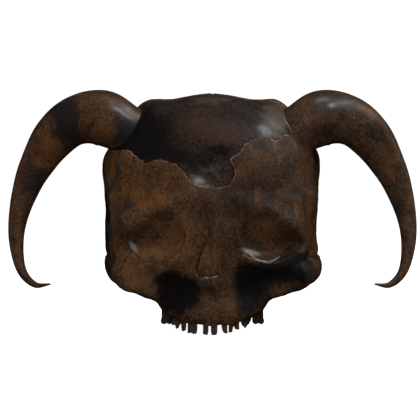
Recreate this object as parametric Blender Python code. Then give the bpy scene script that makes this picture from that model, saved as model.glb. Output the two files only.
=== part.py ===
"""A life-size horned skull: a jawless, man-like cranium with two horns curling down from its temples.

Units are metres and +Z is up. The face looks along -Y, and +X is the viewer's right in a front view.
The origin is on the floor under the middle of the skull, which rests on its front teeth and on the
back of its base. The forms are fused and carved whole, then parted into nodes with thin cuts.
"""

import math
import random

import bmesh
import bpy
import numpy as np
from mathutils import Vector, noise

MM = 0.001
GAP = 0.3 * MM
HALF_GAP = GAP / 2

# Rings of the braincase, from the top down: height, half width, front and back, all in millimetres.
BRAINCASE_RINGS = (
    (164.0, 8, -20, 16),
    (162.6, 30, -38, 36),
    (159.5, 45, -50, 50),
    (152.5, 54, -63, 63),
    (142.5, 61.5, -73, 75),
    (130.5, 69, -80, 84),
    (119.0, 76, -84, 90),
    (107.0, 78.5, -86, 93),
    (93.0, 78, -86, 94),
    (80.0, 77, -84, 93),
    (67.0, 76, -80, 90),
    (55.5, 74.5, -73, 85),
    (44.0, 71.5, -62, 79),
    (33.0, 63, -46, 73),
    (24.0, 48, -25, 67),
    (15.0, 36, -8, 60),
    (7.0, 27, 6, 53),
    (2.0, 19, 16, 47),
    (0.0, 12, 22, 41),
)
BRAINCASE_WAIST = 12.0 * MM
BRAINCASE_SQUARE = 2.5

# Rings of the face and upper jaw, from the brow down, as above.
FACE_RINGS = (
    (102.5, 44, -80, -30),
    (94.5, 57, -87, -26),
    (85.0, 60, -88, -24),
    (73.0, 60, -87, -24),
    (61.5, 59.5, -86, -24),
    (50.0, 59, -85, -24),
    (40.0, 60, -84, -26),
    (32.5, 58, -83, -28),
    (26.5, 50, -82, -29),
    (22.0, 41, -82.5, -30),
    (16.0, 37, -84, -30),
    (7.5, 35.5, -85, -30),
)
FACE_WAIST = -44.0 * MM
FACE_SQUARE = 3.0

# Lumps fused with them, each as a centre and half sizes in millimetres. Paired ones stand on both sides.
NOSE_BRIDGE = ((0, -84, 78), (7, 9, 19))
PAIRED_LUMPS = {
    "mastoid": ((50, 27, 37), (9, 12, 15)),
    "cheek": ((53, -62, 39.5), (17, 13, 11)),
    "condyle": ((16, 6, 13), (6, 11, 7)),
    "pterygoid": ((13, -17, 21), (3, 7, 13)),
    "cerebellum": ((15, 38, 23), (23, 28, 23.2)),
}
PALATE = ((0, -52, 3), (24, 28, 20))
GREAT_HOLE = ((0, 22, 2), (14, 17, 13))
EAR_HOLE = ((72, 12, 39), (9, 4.5, 4.5))

# Bars of the cheekbones: distance from the middle, depth, height, half thickness, half height.
ARCH_POINTS = (
    (54, -62, 41, 7.5, 9.5),
    (64, -54, 40.5, 6.0, 8.6),
    (69.8, -41, 41.5, 4.4, 7.0),
    (72.3, -22, 43, 3.6, 5.6),
    (72.6, -2, 45, 3.6, 5.0),
    (70.5, 14, 47.5, 4.5, 6.0),
    (62.0, 26, 49, 5.0, 7.0),
)
ARCH_SIDES = 14
ARCH_RINGS = 26

# Centre lines of the horns: distance from the middle, depth, height, radius.
HORN_POINTS = (
    (46, -29, 129.5, 15.5),
    (61, -30, 139.5, 17.0),
    (75, -29, 146.5, 19.0),
    (88, -27, 147, 17.9),
    (100, -24, 142.5, 16.6),
    (111, -20, 132.5, 15.2),
    (120, -17, 119.5, 12.9),
    (129, -17, 101.5, 10.0),
    (135.5, -20, 78.5, 6.9),
    (136.6, -25, 59.5, 5.1),
    (132.5, -31, 41, 3.4),
    (123.0, -36, 31.5, 2.2),
    (112.0, -40, 32, 0.6),
)
HORN_SIDES = 18
HORN_RINGS = 34
HORN_FLATNESS = 0.94

# Carving strokes, in millimetres and degrees. A centre holds two of X, Y and Z.
FACE_STARTS = -45.0 * MM
FACE_BLEND = 18.0 * MM
TEMPLE = {"centre": (-30, 64), "radii": (30, 40), "depth": 13, "inner": 40, "blend": 14}
SWELLING = {"centre": (0, 137.5), "radii": (34, 26), "depth": -3.2}
HORN_HOLLOW = {"centre": (45, 141.5), "radii": (15, 18), "depth": 2.2}
CROWN = {"half_width": 26, "depth": -30, "reach": 40, "rise": 2.0, "above": 136}
BROW = {"height": 90, "droop": 16, "half_width": 56, "end": 62, "thickness": 11, "depth": -3.4}
SOCKET = {"centre": (37.6, 65.5), "radii": (21.0, 17.5), "tilt": 27, "depth": 9.5, "flatness": 2.1}
SOCKET_CORNER = {"direction": 46, "distance": 14.5, "sharpness": 8}
SOCKET_RIM = {"reach": 1.12, "thickness": 0.22, "depth": -1.4}
NOSE = {"middle": -2.5, "top": 65.0, "floor": 37.8, "half_width": 8.4, "depth": 7.5, "flatness": 5}
SILL = {"centre": (-2.5, 34.5), "radii": (12, 4), "depth": -3.0}
CHEEK_HOLLOW = {"centre": (27, 33), "radii": (15, 18), "depth": 6.0}
UNDER_SOCKET = {"centre": (46, 36.5), "radii": (19, 8.5), "depth": 4.2}
DENT = {"centre": (-0.5, 111.6), "radii": (16.8, 12.4), "depth": 5.5, "flatness": 2.2}
NAPE_LINE = {"height": 60, "droop": 12, "half_width": 50, "thickness": 7, "depth": 2.0}
NAPE_BUMP = {"centre": (0, 59), "radii": (15, 10), "depth": 2.2}
BACK_STARTS = 50.0 * MM
BACK_BLEND = 20.0 * MM
JAW_STARTS = -24.0 * MM
JAW_BLEND = 4.0 * MM
JAW_LIFT = 8.0 * MM
JAW_LIFT_TOP = 26.0 * MM
JAW_LIFT_SPAN = 18.0 * MM
UNEVEN_DEPTH = 0.45 * MM
UNEVEN_SPACING = 19.0 * MM

# Front teeth: how far across each stands, its width and how high it ends, in millimetres.
FRONT_TEETH = (
    (-31.6, 5.1, 6.6), (-25.2, 5.7, 4.4), (-19.6, 3.7, 2.4), (-13.6, 6.6, 1.2), (-4.7, 4.1, 0.0),
    (1.3, 4.3, 0.0), (8.4, 4.1, 0.0), (12.3, 2.9, 1.6), (16.5, 3.8, 3.4), (23.0, 6.6, 4.2), (29.9, 5.5, 6.8),
)
MOLAR_X = 31.5
MOLAR_DEPTHS = (-47.0, -38.0)
MOLAR_SIZE = (8.5, 5.0)
JAW_ARCH_HALF_WIDTH = 34.0 * MM
JAW_ARCH_BACK = -34.0 * MM
JAW_ARCH_DEPTH = 49.0 * MM
TOOTH_THICKNESS = 5.6 * MM
TOOTH_SIDES = 8
TOOTH_SQUARE = 3
TOOTH_LEVELS = ((0.0, 0.84), (0.3, 1.0), (0.6, 0.94), (1.0, 0.7))
TOOTH_LEAN = 0.06
TOOTH_SLANT = 0.25
TOOTH_ROOT = 17.0 * MM
TOOTH_FACING = 10.0 * MM

# How far each part's crust stands above the bare dome.
CRUST = {
    "bare_dome": 0.0,
    "face_left": 1.7 * MM,
    "face_right": 1.0 * MM,
    "upper_jaw": 1.0 * MM,
    "braincase": 1.0 * MM,
}

# Broken edge of the crust across the forehead, from the left horn to the right one (across, height).
BROKEN_EDGE = (
    (-62.9, 124.4), (-57.9, 124.9), (-45.0, 115.6), (-34.6, 118.6), (-23.9, 114.7), (-19.4, 109.8),
    (-16.3, 105.3), (-11.7, 101.6), (-4.4, 99.8), (6.8, 99.8), (12.2, 101.8), (15.0, 107.7),
    (14.5, 113.6), (11.8, 118.5), (17.5, 122.4), (25.3, 131.7), (33.0, 132.8), (43.7, 131.1),
    (49.9, 135.0), (56.3, 135.4),
)
# Back edge of the bare dome, from right to left (across, depth).
DOME_BACK_EDGE = (
    (200, -20), (52, -19), (40, -24), (27, -19), (16, -25), (4, -21), (-9, -26), (-21, -20), (-33, -25),
    (-46, -19), (-200, -20),
)
# Inner edge of the left face plate, from the broken edge down to the nose (across, height).
LEFT_PLATE_EDGE = ((-11.7, 101.6), (-8.7, 95.1), (-5.8, 87.8), (-3.1, 77.6), (-2.0, 65.5), (-2.5, 36.4))
# Upper edge of the jaw node, from left to right.
JAW_EDGE = (
    (-50.5, 18.0), (-38.0, 22.0), (-26.0, 29.6), (-14.6, 36.4), (11.6, 36.4), (24.5, 29.6), (38.0, 22.0),
    (50.5, 18.0),
)
# Back edge of the face plates seen from the side, from the top down (depth, height).
FACE_BACK_EDGE = (
    (-24, 200), (-24, 131), (-29, 124), (-27, 116), (-33, 108), (-31, 99), (-37, 91), (-34, 82), (-39, 74),
    (-37, 65), (-42, 57), (-39, 48), (-43, 38), (-40, 28), (-42, -200),
)
JAW_BACK_EDGE = ((-27, 200), (-27, -200))
FAR = 200.0 * MM

CARVING_VOXEL = 1.9 * MM
SKULL_TRIANGLES = 9000
RANDOM_SEED = 7

BONE = {"color": (0.050, 0.024, 0.010), "roughness": 0.55}
DARK_BONE = {"color": (0.012, 0.008, 0.007), "roughness": 0.3}
HORN = {"color": (0.032, 0.019, 0.011), "roughness": 0.42}


def clear_scene():
    for old in list(bpy.data.objects):
        bpy.data.objects.remove(old)


def material(name, color, roughness):
    made = bpy.data.materials.new(name)
    made.use_nodes = True
    shader = made.node_tree.nodes["Principled BSDF"]
    shader.inputs["Base Color"].default_value = (*color, 1.0)
    shader.inputs["Roughness"].default_value = roughness
    shader.inputs["Metallic"].default_value = 0.0
    return made


def add_object(name, mesh):
    made = bpy.data.objects.new(name, mesh)
    bpy.context.scene.collection.objects.link(made)
    return made


def object_from(name, builder):
    """An object whose mesh the function builder fills in, with its faces turned outwards."""
    grid = bmesh.new()
    builder(grid)
    bmesh.ops.recalc_face_normals(grid, faces=grid.faces)
    mesh = bpy.data.meshes.new(name)
    grid.to_mesh(mesh)
    grid.free()
    return add_object(name, mesh)


def copy_of(source, name):
    return add_object(name, source.data.copy())


def apply_modifiers(obj):
    graph = bpy.context.evaluated_depsgraph_get()
    mesh = bpy.data.meshes.new_from_object(obj.evaluated_get(graph))
    old = obj.data
    obj.modifiers.clear()
    obj.data = mesh
    bpy.data.meshes.remove(old)


def boolean(obj, other, operation):
    step = obj.modifiers.new(operation, "BOOLEAN")
    step.operation = operation
    step.solver = "EXACT"
    step.object = other
    apply_modifiers(obj)


def points_of(obj):
    flat = np.empty(len(obj.data.vertices) * 3)
    obj.data.vertices.foreach_get("co", flat)
    return flat.reshape(-1, 3)


def normals_of(obj):
    flat = np.empty(len(obj.data.vertices) * 3)
    obj.data.vertex_normals.foreach_get("vector", flat)
    return flat.reshape(-1, 3)


def set_points(obj, points):
    obj.data.vertices.foreach_set("co", points.astype(np.float32).ravel())
    obj.data.update()


def grow(obj, distance):
    set_points(obj, points_of(obj) + normals_of(obj) * distance)


def keep_largest_body(obj):
    """Deletes all but the closed surface with the greatest volume."""
    grid = bmesh.new()
    grid.from_mesh(obj.data)
    waiting = set(grid.faces)
    bodies = []
    while waiting:
        edge_of_body = [waiting.pop()]
        body = list(edge_of_body)
        while edge_of_body:
            face = edge_of_body.pop()
            for edge in [e for e in face.edges if len(e.link_faces) == 2]:
                for neighbour in edge.link_faces:
                    if neighbour in waiting:
                        waiting.remove(neighbour)
                        edge_of_body.append(neighbour)
                        body.append(neighbour)
        bodies.append(body)
    bodies.sort(key=lambda faces: sum(f.calc_area() for f in faces))
    loose = [face for body in bodies[:-1] for face in body]
    bmesh.ops.delete(grid, geom=loose, context="FACES")
    grid.to_mesh(obj.data)
    grid.free()


def curve_through(points, count):
    """A smooth Catmull-Rom run of count points through the given ones, ends included."""
    knots = np.array(points, float)
    knots = np.vstack([2 * knots[0] - knots[1], knots, 2 * knots[-1] - knots[-2]])
    spans = len(knots) - 3
    run = []
    for step in np.linspace(0, spans, count):
        i = min(int(step), spans - 1)
        t = step - i
        a, b, c, d = knots[i : i + 4]
        bend, twist = 2 * a - 5 * b + 4 * c - d, 3 * b - a - 3 * c + d
        run.append(0.5 * (2 * b + (c - a) * t + bend * t**2 + twist * t**3))
    return np.array(run)


def skin_rings(grid, rings):
    """Closed skin over rings of points, capped at both ends."""
    rows = [[grid.verts.new(point) for point in ring] for ring in rings]
    sides = len(rows[0])
    for low, high in zip(rows, rows[1:]):
        for i in range(sides):
            j = (i + 1) % sides
            grid.faces.new((low[i], low[j], high[j], high[i]))
    grid.faces.new(rows[0][::-1])
    grid.faces.new(rows[-1])


def squared(value, power):
    return math.copysign(abs(value) ** (2 / power), value)


def stacked_form(name, rings, waist, square, sides=72, layers=60):
    """A block whose level rings are rounded squares, each with its own width, front and back."""

    def build(grid):
        made = []
        for height, half_width, front, back in curve_through(rings, layers) * MM:
            ring = []
            for i in range(sides):
                turn = 2 * math.pi * i / sides
                reach = (back - waist) if math.sin(turn) > 0 else (waist - front)
                ring.append((
                    half_width * squared(math.cos(turn), square),
                    waist + max(reach, MM) * squared(math.sin(turn), square),
                    height,
                ))
            made.append(ring)
        skin_rings(grid, made)

    return object_from(name, build)


def tube_form(name, path, sides, reference):
    """A tube along path, whose rows hold x, y, z and the half sizes square to and along reference."""

    def build(grid):
        made = []
        for i, (x, y, z, across, upright) in enumerate(path):
            before, after = path[max(i - 1, 0)][:3], path[min(i + 1, len(path) - 1)][:3]
            along = Vector(after - before).normalized()
            outward = along.cross(Vector(reference)).normalized()
            up = outward.cross(along)
            turns = [2 * math.pi * k / sides for k in range(sides)]
            made.append([
                Vector((x, y, z)) + outward * across * math.cos(t) + up * upright * math.sin(t) for t in turns
            ])
        skin_rings(grid, made)

    return object_from(name, build)


def ball_form(name, centre, radii):
    """An egg-shaped lump with the given centre and half sizes, in millimetres."""

    def build(grid):
        bmesh.ops.create_icosphere(grid, subdivisions=4, radius=1)
        for vert in grid.verts:
            vert.co = Vector(c * MM + s * r * MM for c, s, r in zip(centre, vert.co, radii))

    return object_from(name, build)


def join_all(objects, name):
    """One object holding every given object's surface, still unfused."""
    grid = bmesh.new()
    for obj in objects:
        grid.from_mesh(obj.data)
        bpy.data.objects.remove(obj)
    mesh = bpy.data.meshes.new(name)
    grid.to_mesh(mesh)
    grid.free()
    return add_object(name, mesh)


def fuse(obj, voxel, rounds):
    """Fuses the overlapping forms of obj into one even skin and rounds the joins."""
    step = obj.modifiers.new("fuse", "REMESH")
    step.mode = "VOXEL"
    step.voxel_size = voxel
    blend = obj.modifiers.new("round", "SMOOTH")
    blend.factor = 0.5
    blend.iterations = rounds
    apply_modifiers(obj)


def thin_out(obj, triangles):
    step = obj.modifiers.new("thin", "DECIMATE")
    now = sum(len(face.vertices) - 2 for face in obj.data.polygons)
    step.ratio = triangles / now
    step.use_collapse_triangulate = True
    apply_modifiers(obj)


def bump(distance):
    """1 at the centre, falling smoothly to 0 at distance 1 and beyond."""
    return np.clip(1 - distance**2, 0, 1) ** 2


def bowl(distance, steepness):
    """1 over a wide floor, falling to 0 at distance 1; a larger steepness makes a flatter floor."""
    return np.clip(1 - np.clip(distance, 0, 1) ** steepness, 0, 1) ** 0.8


def raw_skull():
    """The plain skull before carving: braincase, face, ear region and base fused into one skin."""
    forms = [
        stacked_form("braincase_form", BRAINCASE_RINGS, BRAINCASE_WAIST, BRAINCASE_SQUARE),
        stacked_form("face_form", FACE_RINGS, FACE_WAIST, FACE_SQUARE),
        ball_form("nose_bridge_form", *NOSE_BRIDGE),
    ]
    for name, (centre, radii) in PAIRED_LUMPS.items():
        forms += [ball_form(name, mirrored(centre, side), radii) for side in (-1, 1)]
    skull = join_all(forms, "skull_whole")
    fuse(skull, CARVING_VOXEL, 6)
    return skull


def carve_base(skull):
    """Hollows the palate, the great hole of the base and the ear holes."""
    cutters = [ball_form("palate_cutter", *PALATE), ball_form("great_hole_cutter", *GREAT_HOLE)]
    cutters += [ball_form("ear_cutter", mirrored(EAR_HOLE[0], side), EAR_HOLE[1]) for side in (-1, 1)]
    for cutter in cutters:
        boolean(skull, cutter, "DIFFERENCE")
        bpy.data.objects.remove(cutter)
    fuse(skull, CARVING_VOXEL, 2)
    keep_largest_body(skull)


def from_centre(a, b, stroke):
    """Distance of (a, b) from a stroke's centre, as a share of its radii."""
    (middle_a, middle_b), (radius_a, radius_b) = stroke["centre"], stroke["radii"]
    return np.hypot((a / MM - middle_a) / radius_a, (b / MM - middle_b) / radius_b)


def dab(a, b, stroke):
    """How far a plain round stroke moves the surface at (a, b)."""
    return stroke["depth"] * MM * bump(from_centre(a, b, stroke))


def drooping_line(away, z, stroke):
    """A ridge along a line that sinks towards its ends."""
    line = stroke["height"] - stroke["droop"] * (away / MM / stroke["half_width"]) ** 2
    return stroke["depth"] * MM * bump((z / MM - line) / stroke["thickness"])


def temple_push(x, y, z):
    """Sinks the temples behind the outer rims of the sockets."""
    inner = np.clip((np.abs(x) / MM - TEMPLE["inner"]) / TEMPLE["blend"], 0, 1)
    return -np.sign(x) * dab(y, z, TEMPLE) * inner


def crown_push(x, y, z):
    """Raises the middle of the crown."""
    along = bump((y / MM - CROWN["depth"]) / CROWN["reach"])
    return CROWN["rise"] * MM * bump(x / MM / CROWN["half_width"]) * along * (z / MM > CROWN["above"])


def socket_push(away, z):
    """A shallow bowl with a raised rim, lower at its outer end and cut straight on its upper outer side."""
    tilt = math.radians(SOCKET["tilt"])
    across, up = away / MM - SOCKET["centre"][0], z / MM - SOCKET["centre"][1]
    long_way = across * math.cos(tilt) - up * math.sin(tilt)
    short_way = across * math.sin(tilt) + up * math.cos(tilt)
    reach = np.hypot(long_way / SOCKET["radii"][0], short_way / SOCKET["radii"][1])
    corner = math.radians(SOCKET_CORNER["direction"])
    cut = np.maximum(across * math.cos(corner) + up * math.sin(corner), 0) / SOCKET_CORNER["distance"]
    reach = (reach ** SOCKET_CORNER["sharpness"] + cut ** SOCKET_CORNER["sharpness"]) ** (
        1 / SOCKET_CORNER["sharpness"]
    )
    rim = bump((reach - SOCKET_RIM["reach"]) / SOCKET_RIM["thickness"])
    return (SOCKET["depth"] * bowl(reach, SOCKET["flatness"]) + SOCKET_RIM["depth"] * rim) * MM


def nose_push(x, z):
    """A pear-shaped opening, narrow at its top, over a raised sill."""
    height = NOSE["top"] - NOSE["floor"]
    drop = np.clip((NOSE["top"] - z / MM) / height, 0, 1.2)
    sideways = np.abs(x / MM - NOSE["middle"]) / (NOSE["half_width"] * (0.35 + 0.65 * drop))
    upright = np.abs(z / MM - NOSE["floor"] - height / 2) / (height / 2)
    return NOSE["depth"] * MM * bowl(np.maximum(sideways, upright), NOSE["flatness"]) + dab(x, z, SILL)


def brow_push(away, z):
    """Brows that arch over the sockets and end at their outer corners."""
    end = np.clip((BROW["end"] - away / MM) / 10, 0, 1)
    return drooping_line(away, z, BROW) * end


def carve_surface(skull):
    """Shapes the surface of the fused skull with the strokes above."""
    points = points_of(skull)
    x, y, z = points.T
    away = np.abs(x)
    on_face = np.clip((FACE_STARTS - y) / FACE_BLEND, 0, 1)
    on_back = np.clip((y - BACK_STARTS) / BACK_BLEND, 0, 1)
    face = brow_push(away, z) + socket_push(away, z) + nose_push(x, z)
    face += dab(x, z, SWELLING) + dab(away, z, HORN_HOLLOW)
    face += dab(away, z, CHEEK_HOLLOW) + dab(away, z, UNDER_SOCKET)
    face += DENT["depth"] * MM * bowl(from_centre(x, z, DENT), DENT["flatness"])
    back = drooping_line(away, z, NAPE_LINE) + dab(x, z, NAPE_BUMP)
    push = np.column_stack([temple_push(x, y, z), face * on_face + back * on_back, crown_push(x, y, z)])
    set_points(skull, points + push)
    waves = np.array([noise.noise(Vector(point) / UNEVEN_SPACING) for point in points])
    set_points(skull, points_of(skull) + normals_of(skull) * waves[:, None] * UNEVEN_DEPTH)


def trim_jaw_edge(points):
    """Lifts the jaw's lower edge towards its sides, and flattens what rests on the floor."""
    x, y, z = points.T
    jaw = np.clip((JAW_STARTS - y) / JAW_BLEND, 0, 1)
    lift = JAW_LIFT * np.clip(np.abs(x) / JAW_ARCH_HALF_WIDTH, 0, 1.1) ** 2
    low = np.clip((JAW_LIFT_TOP - z) / JAW_LIFT_SPAN, 0, 1)
    return np.column_stack([x, y, np.maximum(z + jaw * low * lift, 0)])


def carved_skull():
    skull = raw_skull()
    carve_base(skull)
    carve_surface(skull)
    fuse(skull, CARVING_VOXEL, 1)
    keep_largest_body(skull)
    set_points(skull, trim_jaw_edge(points_of(skull)))
    thin_out(skull, SKULL_TRIANGLES)
    return skull


def prism(name, outline, axis):
    """A long block with the given outline, which runs along the axis "X", "Y" or "Z"."""
    along = "XYZ".index(axis)

    def build(grid):
        ends = []
        for level in (-FAR, FAR):
            ends.append([grid.verts.new((*corner[:along], level, *corner[along:])) for corner in outline])
        for i in range(len(outline)):
            j = (i + 1) % len(outline)
            grid.faces.new((ends[0][i], ends[0][j], ends[1][j], ends[1][i]))
        grid.faces.new(ends[0])
        grid.faces.new(ends[1])

    return object_from(name, build)


def inset(outline, distance):
    """The outline moved inwards by distance, or outwards if that is negative."""
    ring = [Vector(point) for point in outline]
    area = sum(a.x * b.y - b.x * a.y for a, b in zip(ring, ring[1:] + ring[:1]))
    turn = 1 if area > 0 else -1
    moved = []
    for i, point in enumerate(ring):
        before = (point - ring[i - 1]).normalized()
        after = (ring[(i + 1) % len(ring)] - point).normalized()
        first = Vector((-before.y, before.x)) * turn
        second = Vector((-after.y, after.x)) * turn
        mitre = (first + second) / max(1 + first.dot(second), 0.3)
        moved.append(point + mitre * distance)
    return moved


def mirrored(centre, side):
    """A point in millimetres on the side named by side, which is -1 or 1."""
    return (centre[0] * side, centre[1], centre[2])


def in_metres(points):
    return [(a * MM, b * MM) for a, b in points]


def regions():
    """What each parted node fills: its outline from the front, a second outline and that one's axis."""
    edge, inner, jaw = in_metres(BROKEN_EDGE), in_metres(LEFT_PLATE_EDGE), in_metres(JAW_EDGE)
    split = BROKEN_EDGE.index(LEFT_PLATE_EDGE[0]) + 1
    nose = inner[-1][0]
    left_jaw = [point for point in jaw if point[0] < nose][::-1]
    right_jaw = [point for point in jaw if point[0] > nose][::-1]
    left, right = edge[0][1], edge[-1][1]
    jaw_end = jaw[0][1]
    dome_plan = ([*in_metres(DOME_BACK_EDGE), (-FAR, -FAR), (FAR, -FAR)], "Z")
    face_side = ([*in_metres(FACE_BACK_EDGE), (-FAR, -FAR), (-FAR, FAR)], "X")
    jaw_side = ([*in_metres(JAW_BACK_EDGE), (-FAR, -FAR), (-FAR, FAR)], "X")
    return {
        "bare_dome": ([(-FAR, left), *edge, (FAR, right), (FAR, FAR), (-FAR, FAR)], *dome_plan),
        "face_left": ([(-FAR, left), *edge[:split], *inner[1:], *left_jaw, (-FAR, jaw_end)], *face_side),
        "face_right": ([*inner[::-1], *edge[split:], (FAR, right), (FAR, jaw_end), *right_jaw], *face_side),
        "upper_jaw": ([(-FAR, jaw_end), *jaw, (FAR, jaw_end), (FAR, -FAR), (-FAR, -FAR)], *jaw_side),
    }


def region_block(outline, second_outline, axis, margin):
    """The solid that a region fills, made smaller all round by margin, or larger if it is negative."""
    block = prism("block", inset(outline, margin), "Y")
    limit = prism("block_limit", inset(second_outline, margin), axis)
    boolean(block, limit, "INTERSECT")
    bpy.data.objects.remove(limit)
    return block


def horn(name, side):
    """A horn from its root, sunk in the temple, to its tip."""
    path = curve_through(HORN_POINTS, HORN_RINGS) * MM
    path[:, 0] *= side
    return tube_form(name, np.column_stack([path, path[:, 3] * HORN_FLATNESS]), HORN_SIDES, (0, 1, 0))


def jaw_arch(x):
    """Depth of the tooth row at a distance x from the middle."""
    return JAW_ARCH_BACK - JAW_ARCH_DEPTH * math.sqrt(max(1 - (x / JAW_ARCH_HALF_WIDTH) ** 2, 0))


def tooth(name, x, y, width, tip, draw):
    """A worn peg with its root sunk in the jaw and a slanting tip."""
    facing = math.atan2(x, JAW_ARCH_BACK + TOOTH_FACING - y)
    lean = draw.uniform(-TOOTH_LEAN, TOOTH_LEAN)
    slant = draw.uniform(-TOOTH_SLANT, TOOTH_SLANT) if tip > 0 else 0.0

    def build(grid):
        made = []
        for share, size in TOOTH_LEVELS:
            height = tip + (TOOTH_ROOT - tip) * share
            ring = []
            for k in range(TOOTH_SIDES):
                turn = 2 * math.pi * (k + 0.5) / TOOTH_SIDES
                a = width / 2 * size * squared(math.cos(turn), TOOTH_SQUARE)
                b = TOOTH_THICKNESS / 2 * size * squared(math.sin(turn), TOOTH_SQUARE)
                ring.append((
                    x + a * math.cos(facing) + b * math.sin(facing) + lean * (height - TOOTH_ROOT),
                    y + a * math.sin(facing) - b * math.cos(facing),
                    height + (max(slant * a, -tip) if share == 0.0 else 0.0),
                ))
            made.append(ring)
        skin_rings(grid, made)

    return object_from(name, build)


def tooth_spots():
    """Where each tooth stands, how wide it is and how high it ends."""
    spots = [(x, jaw_arch(x * MM) / MM, width, tip) for x, width, tip in FRONT_TEETH]
    for side in (-1, 1):
        spots += [(side * MOLAR_X, depth, *MOLAR_SIZE) for depth in MOLAR_DEPTHS]
    return [[size * MM for size in spot] for spot in spots]


def add_teeth(jaw):
    """Fuses the front teeth and the molars behind them into the jaw node."""
    draw = random.Random(RANDOM_SEED)
    row = bpy.data.collections.new("teeth")
    bpy.context.scene.collection.children.link(row)
    for number, (x, y, width, tip) in enumerate(tooth_spots()):
        made = tooth(f"tooth_{number}", x, y, width, tip, draw)
        bpy.context.scene.collection.objects.unlink(made)
        row.objects.link(made)
    step = jaw.modifiers.new("teeth", "BOOLEAN")
    step.operation = "UNION"
    step.operand_type = "COLLECTION"
    step.solver = "EXACT"
    step.collection = row
    apply_modifiers(jaw)
    for made in list(row.objects):
        bpy.data.objects.remove(made)
    bpy.data.collections.remove(row)
    keep_largest_body(jaw)


def at_level(skull, name, level, sockets):
    """A copy of the whole skull with its surface raised by level and the horn sockets cut."""
    made = copy_of(skull, name)
    grow(made, level)
    set_points(made, np.maximum(points_of(made), (-FAR, -FAR, 0.0)))
    for socket in sockets:
        boolean(made, socket, "DIFFERENCE")
    return made


def part_skull(skull, horns):
    """Parts the carved skull into its nodes and returns them by name."""
    sockets = []
    for made in horns:
        socket = copy_of(made, "socket_cutter")
        grow(socket, GAP)
        sockets.append(socket)
    nodes = {}
    blocks = regions()
    for name, region in blocks.items():
        node = at_level(skull, name, CRUST[name], sockets)
        block = region_block(*region, HALF_GAP)
        boolean(node, block, "INTERSECT")
        bpy.data.objects.remove(block)
        keep_largest_body(node)
        nodes[name] = node
    rest = at_level(skull, "braincase", CRUST["braincase"], sockets)
    for region in blocks.values():
        block = region_block(*region, -HALF_GAP)
        boolean(rest, block, "DIFFERENCE")
        bpy.data.objects.remove(block)
    keep_largest_body(rest)
    nodes["braincase"] = rest
    for socket in sockets:
        bpy.data.objects.remove(socket)
    return nodes


def cheek_arch(name, side, neighbours):
    """The bar of a cheekbone, cut clear of the nodes that it meets."""
    path = curve_through(ARCH_POINTS, ARCH_RINGS) * MM
    path[:, 0] *= side
    bar = tube_form(name, path, ARCH_SIDES, (0, 0, 1))
    for neighbour in neighbours:
        stop = copy_of(neighbour, "arch_stop")
        grow(stop, GAP)
        boolean(bar, stop, "DIFFERENCE")
        bpy.data.objects.remove(stop)
    keep_largest_body(bar)
    return bar


def finish_node(obj, look):
    obj.data.materials.clear()
    obj.data.materials.append(look)
    obj.data.shade_smooth()
    obj.data.set_sharp_from_angle(angle=math.radians(40))


def main():
    clear_scene()
    skull = carved_skull()
    horns = [horn("horn_left", -1), horn("horn_right", 1)]
    nodes = part_skull(skull, horns)
    add_teeth(nodes["upper_jaw"])
    bpy.data.objects.remove(skull)
    arches = [
        cheek_arch("arch_left", -1, (nodes["face_left"], nodes["braincase"])),
        cheek_arch("arch_right", 1, (nodes["face_right"], nodes["braincase"])),
    ]
    crust_look = material("crusted_bone", **BONE)
    for name, node in nodes.items():
        finish_node(node, crust_look)
    for arch in arches:
        finish_node(arch, crust_look)
    finish_node(nodes["bare_dome"], material("bare_bone", **DARK_BONE))
    horn_look = material("horn", **HORN)
    for made in horns:
        finish_node(made, horn_look)


main()
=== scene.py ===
"""A horned skull of old, dark bone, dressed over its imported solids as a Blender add-on."""

import math

import bpy
import numpy as np
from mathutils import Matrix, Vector, noise


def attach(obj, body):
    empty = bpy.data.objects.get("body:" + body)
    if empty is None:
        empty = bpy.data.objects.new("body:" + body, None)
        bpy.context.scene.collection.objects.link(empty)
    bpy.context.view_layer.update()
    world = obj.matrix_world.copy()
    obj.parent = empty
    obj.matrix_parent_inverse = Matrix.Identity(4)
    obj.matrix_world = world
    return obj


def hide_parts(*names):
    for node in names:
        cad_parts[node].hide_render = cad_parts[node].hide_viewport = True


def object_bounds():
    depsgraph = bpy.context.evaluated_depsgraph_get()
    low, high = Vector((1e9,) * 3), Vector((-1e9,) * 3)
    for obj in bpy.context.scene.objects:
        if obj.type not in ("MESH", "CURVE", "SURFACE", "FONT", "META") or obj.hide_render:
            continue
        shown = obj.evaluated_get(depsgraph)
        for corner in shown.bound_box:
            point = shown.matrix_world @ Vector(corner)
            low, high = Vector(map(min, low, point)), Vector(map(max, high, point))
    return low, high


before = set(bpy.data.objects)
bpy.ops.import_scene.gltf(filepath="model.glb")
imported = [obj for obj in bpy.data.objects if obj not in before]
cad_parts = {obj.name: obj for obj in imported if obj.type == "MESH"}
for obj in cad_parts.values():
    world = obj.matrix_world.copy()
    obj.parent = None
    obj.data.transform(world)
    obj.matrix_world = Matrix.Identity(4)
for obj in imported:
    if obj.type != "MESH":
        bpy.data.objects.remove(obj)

bl_info = {
    "name": "Horned skull",
    "version": (1, 0, 0),
    "blender": (4, 5, 0),
    "location": "3D View > Sidebar > Horned skull",
    "description": "Models the bones, teeth and horns of a horned skull and the stage it stands on",
    "category": "Add Mesh",
}

MM = 0.001
CAD_LOW, CAD_HIGH = np.array(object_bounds()) / MM
SIDES = {"left": -1, "right": 1}
# The five bones of the head: the name of each one's node and of its finished piece.
HEAD_PIECES = {
    "braincase": "skull_braincase", "bare_dome": "skull_bare_dome", "face_left": "face_plate_left",
    "face_right": "face_plate_right", "upper_jaw": "upper_jaw_bone",
}
# A distance beyond every edge of the skull, and one up to which the thin lines on the front are felt.
FAR, LINE_REACH = 200.0, 4.0
# The thin lines and the glints are drawn on what lies in front of this depth.
FRONT = -40.0

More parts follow.
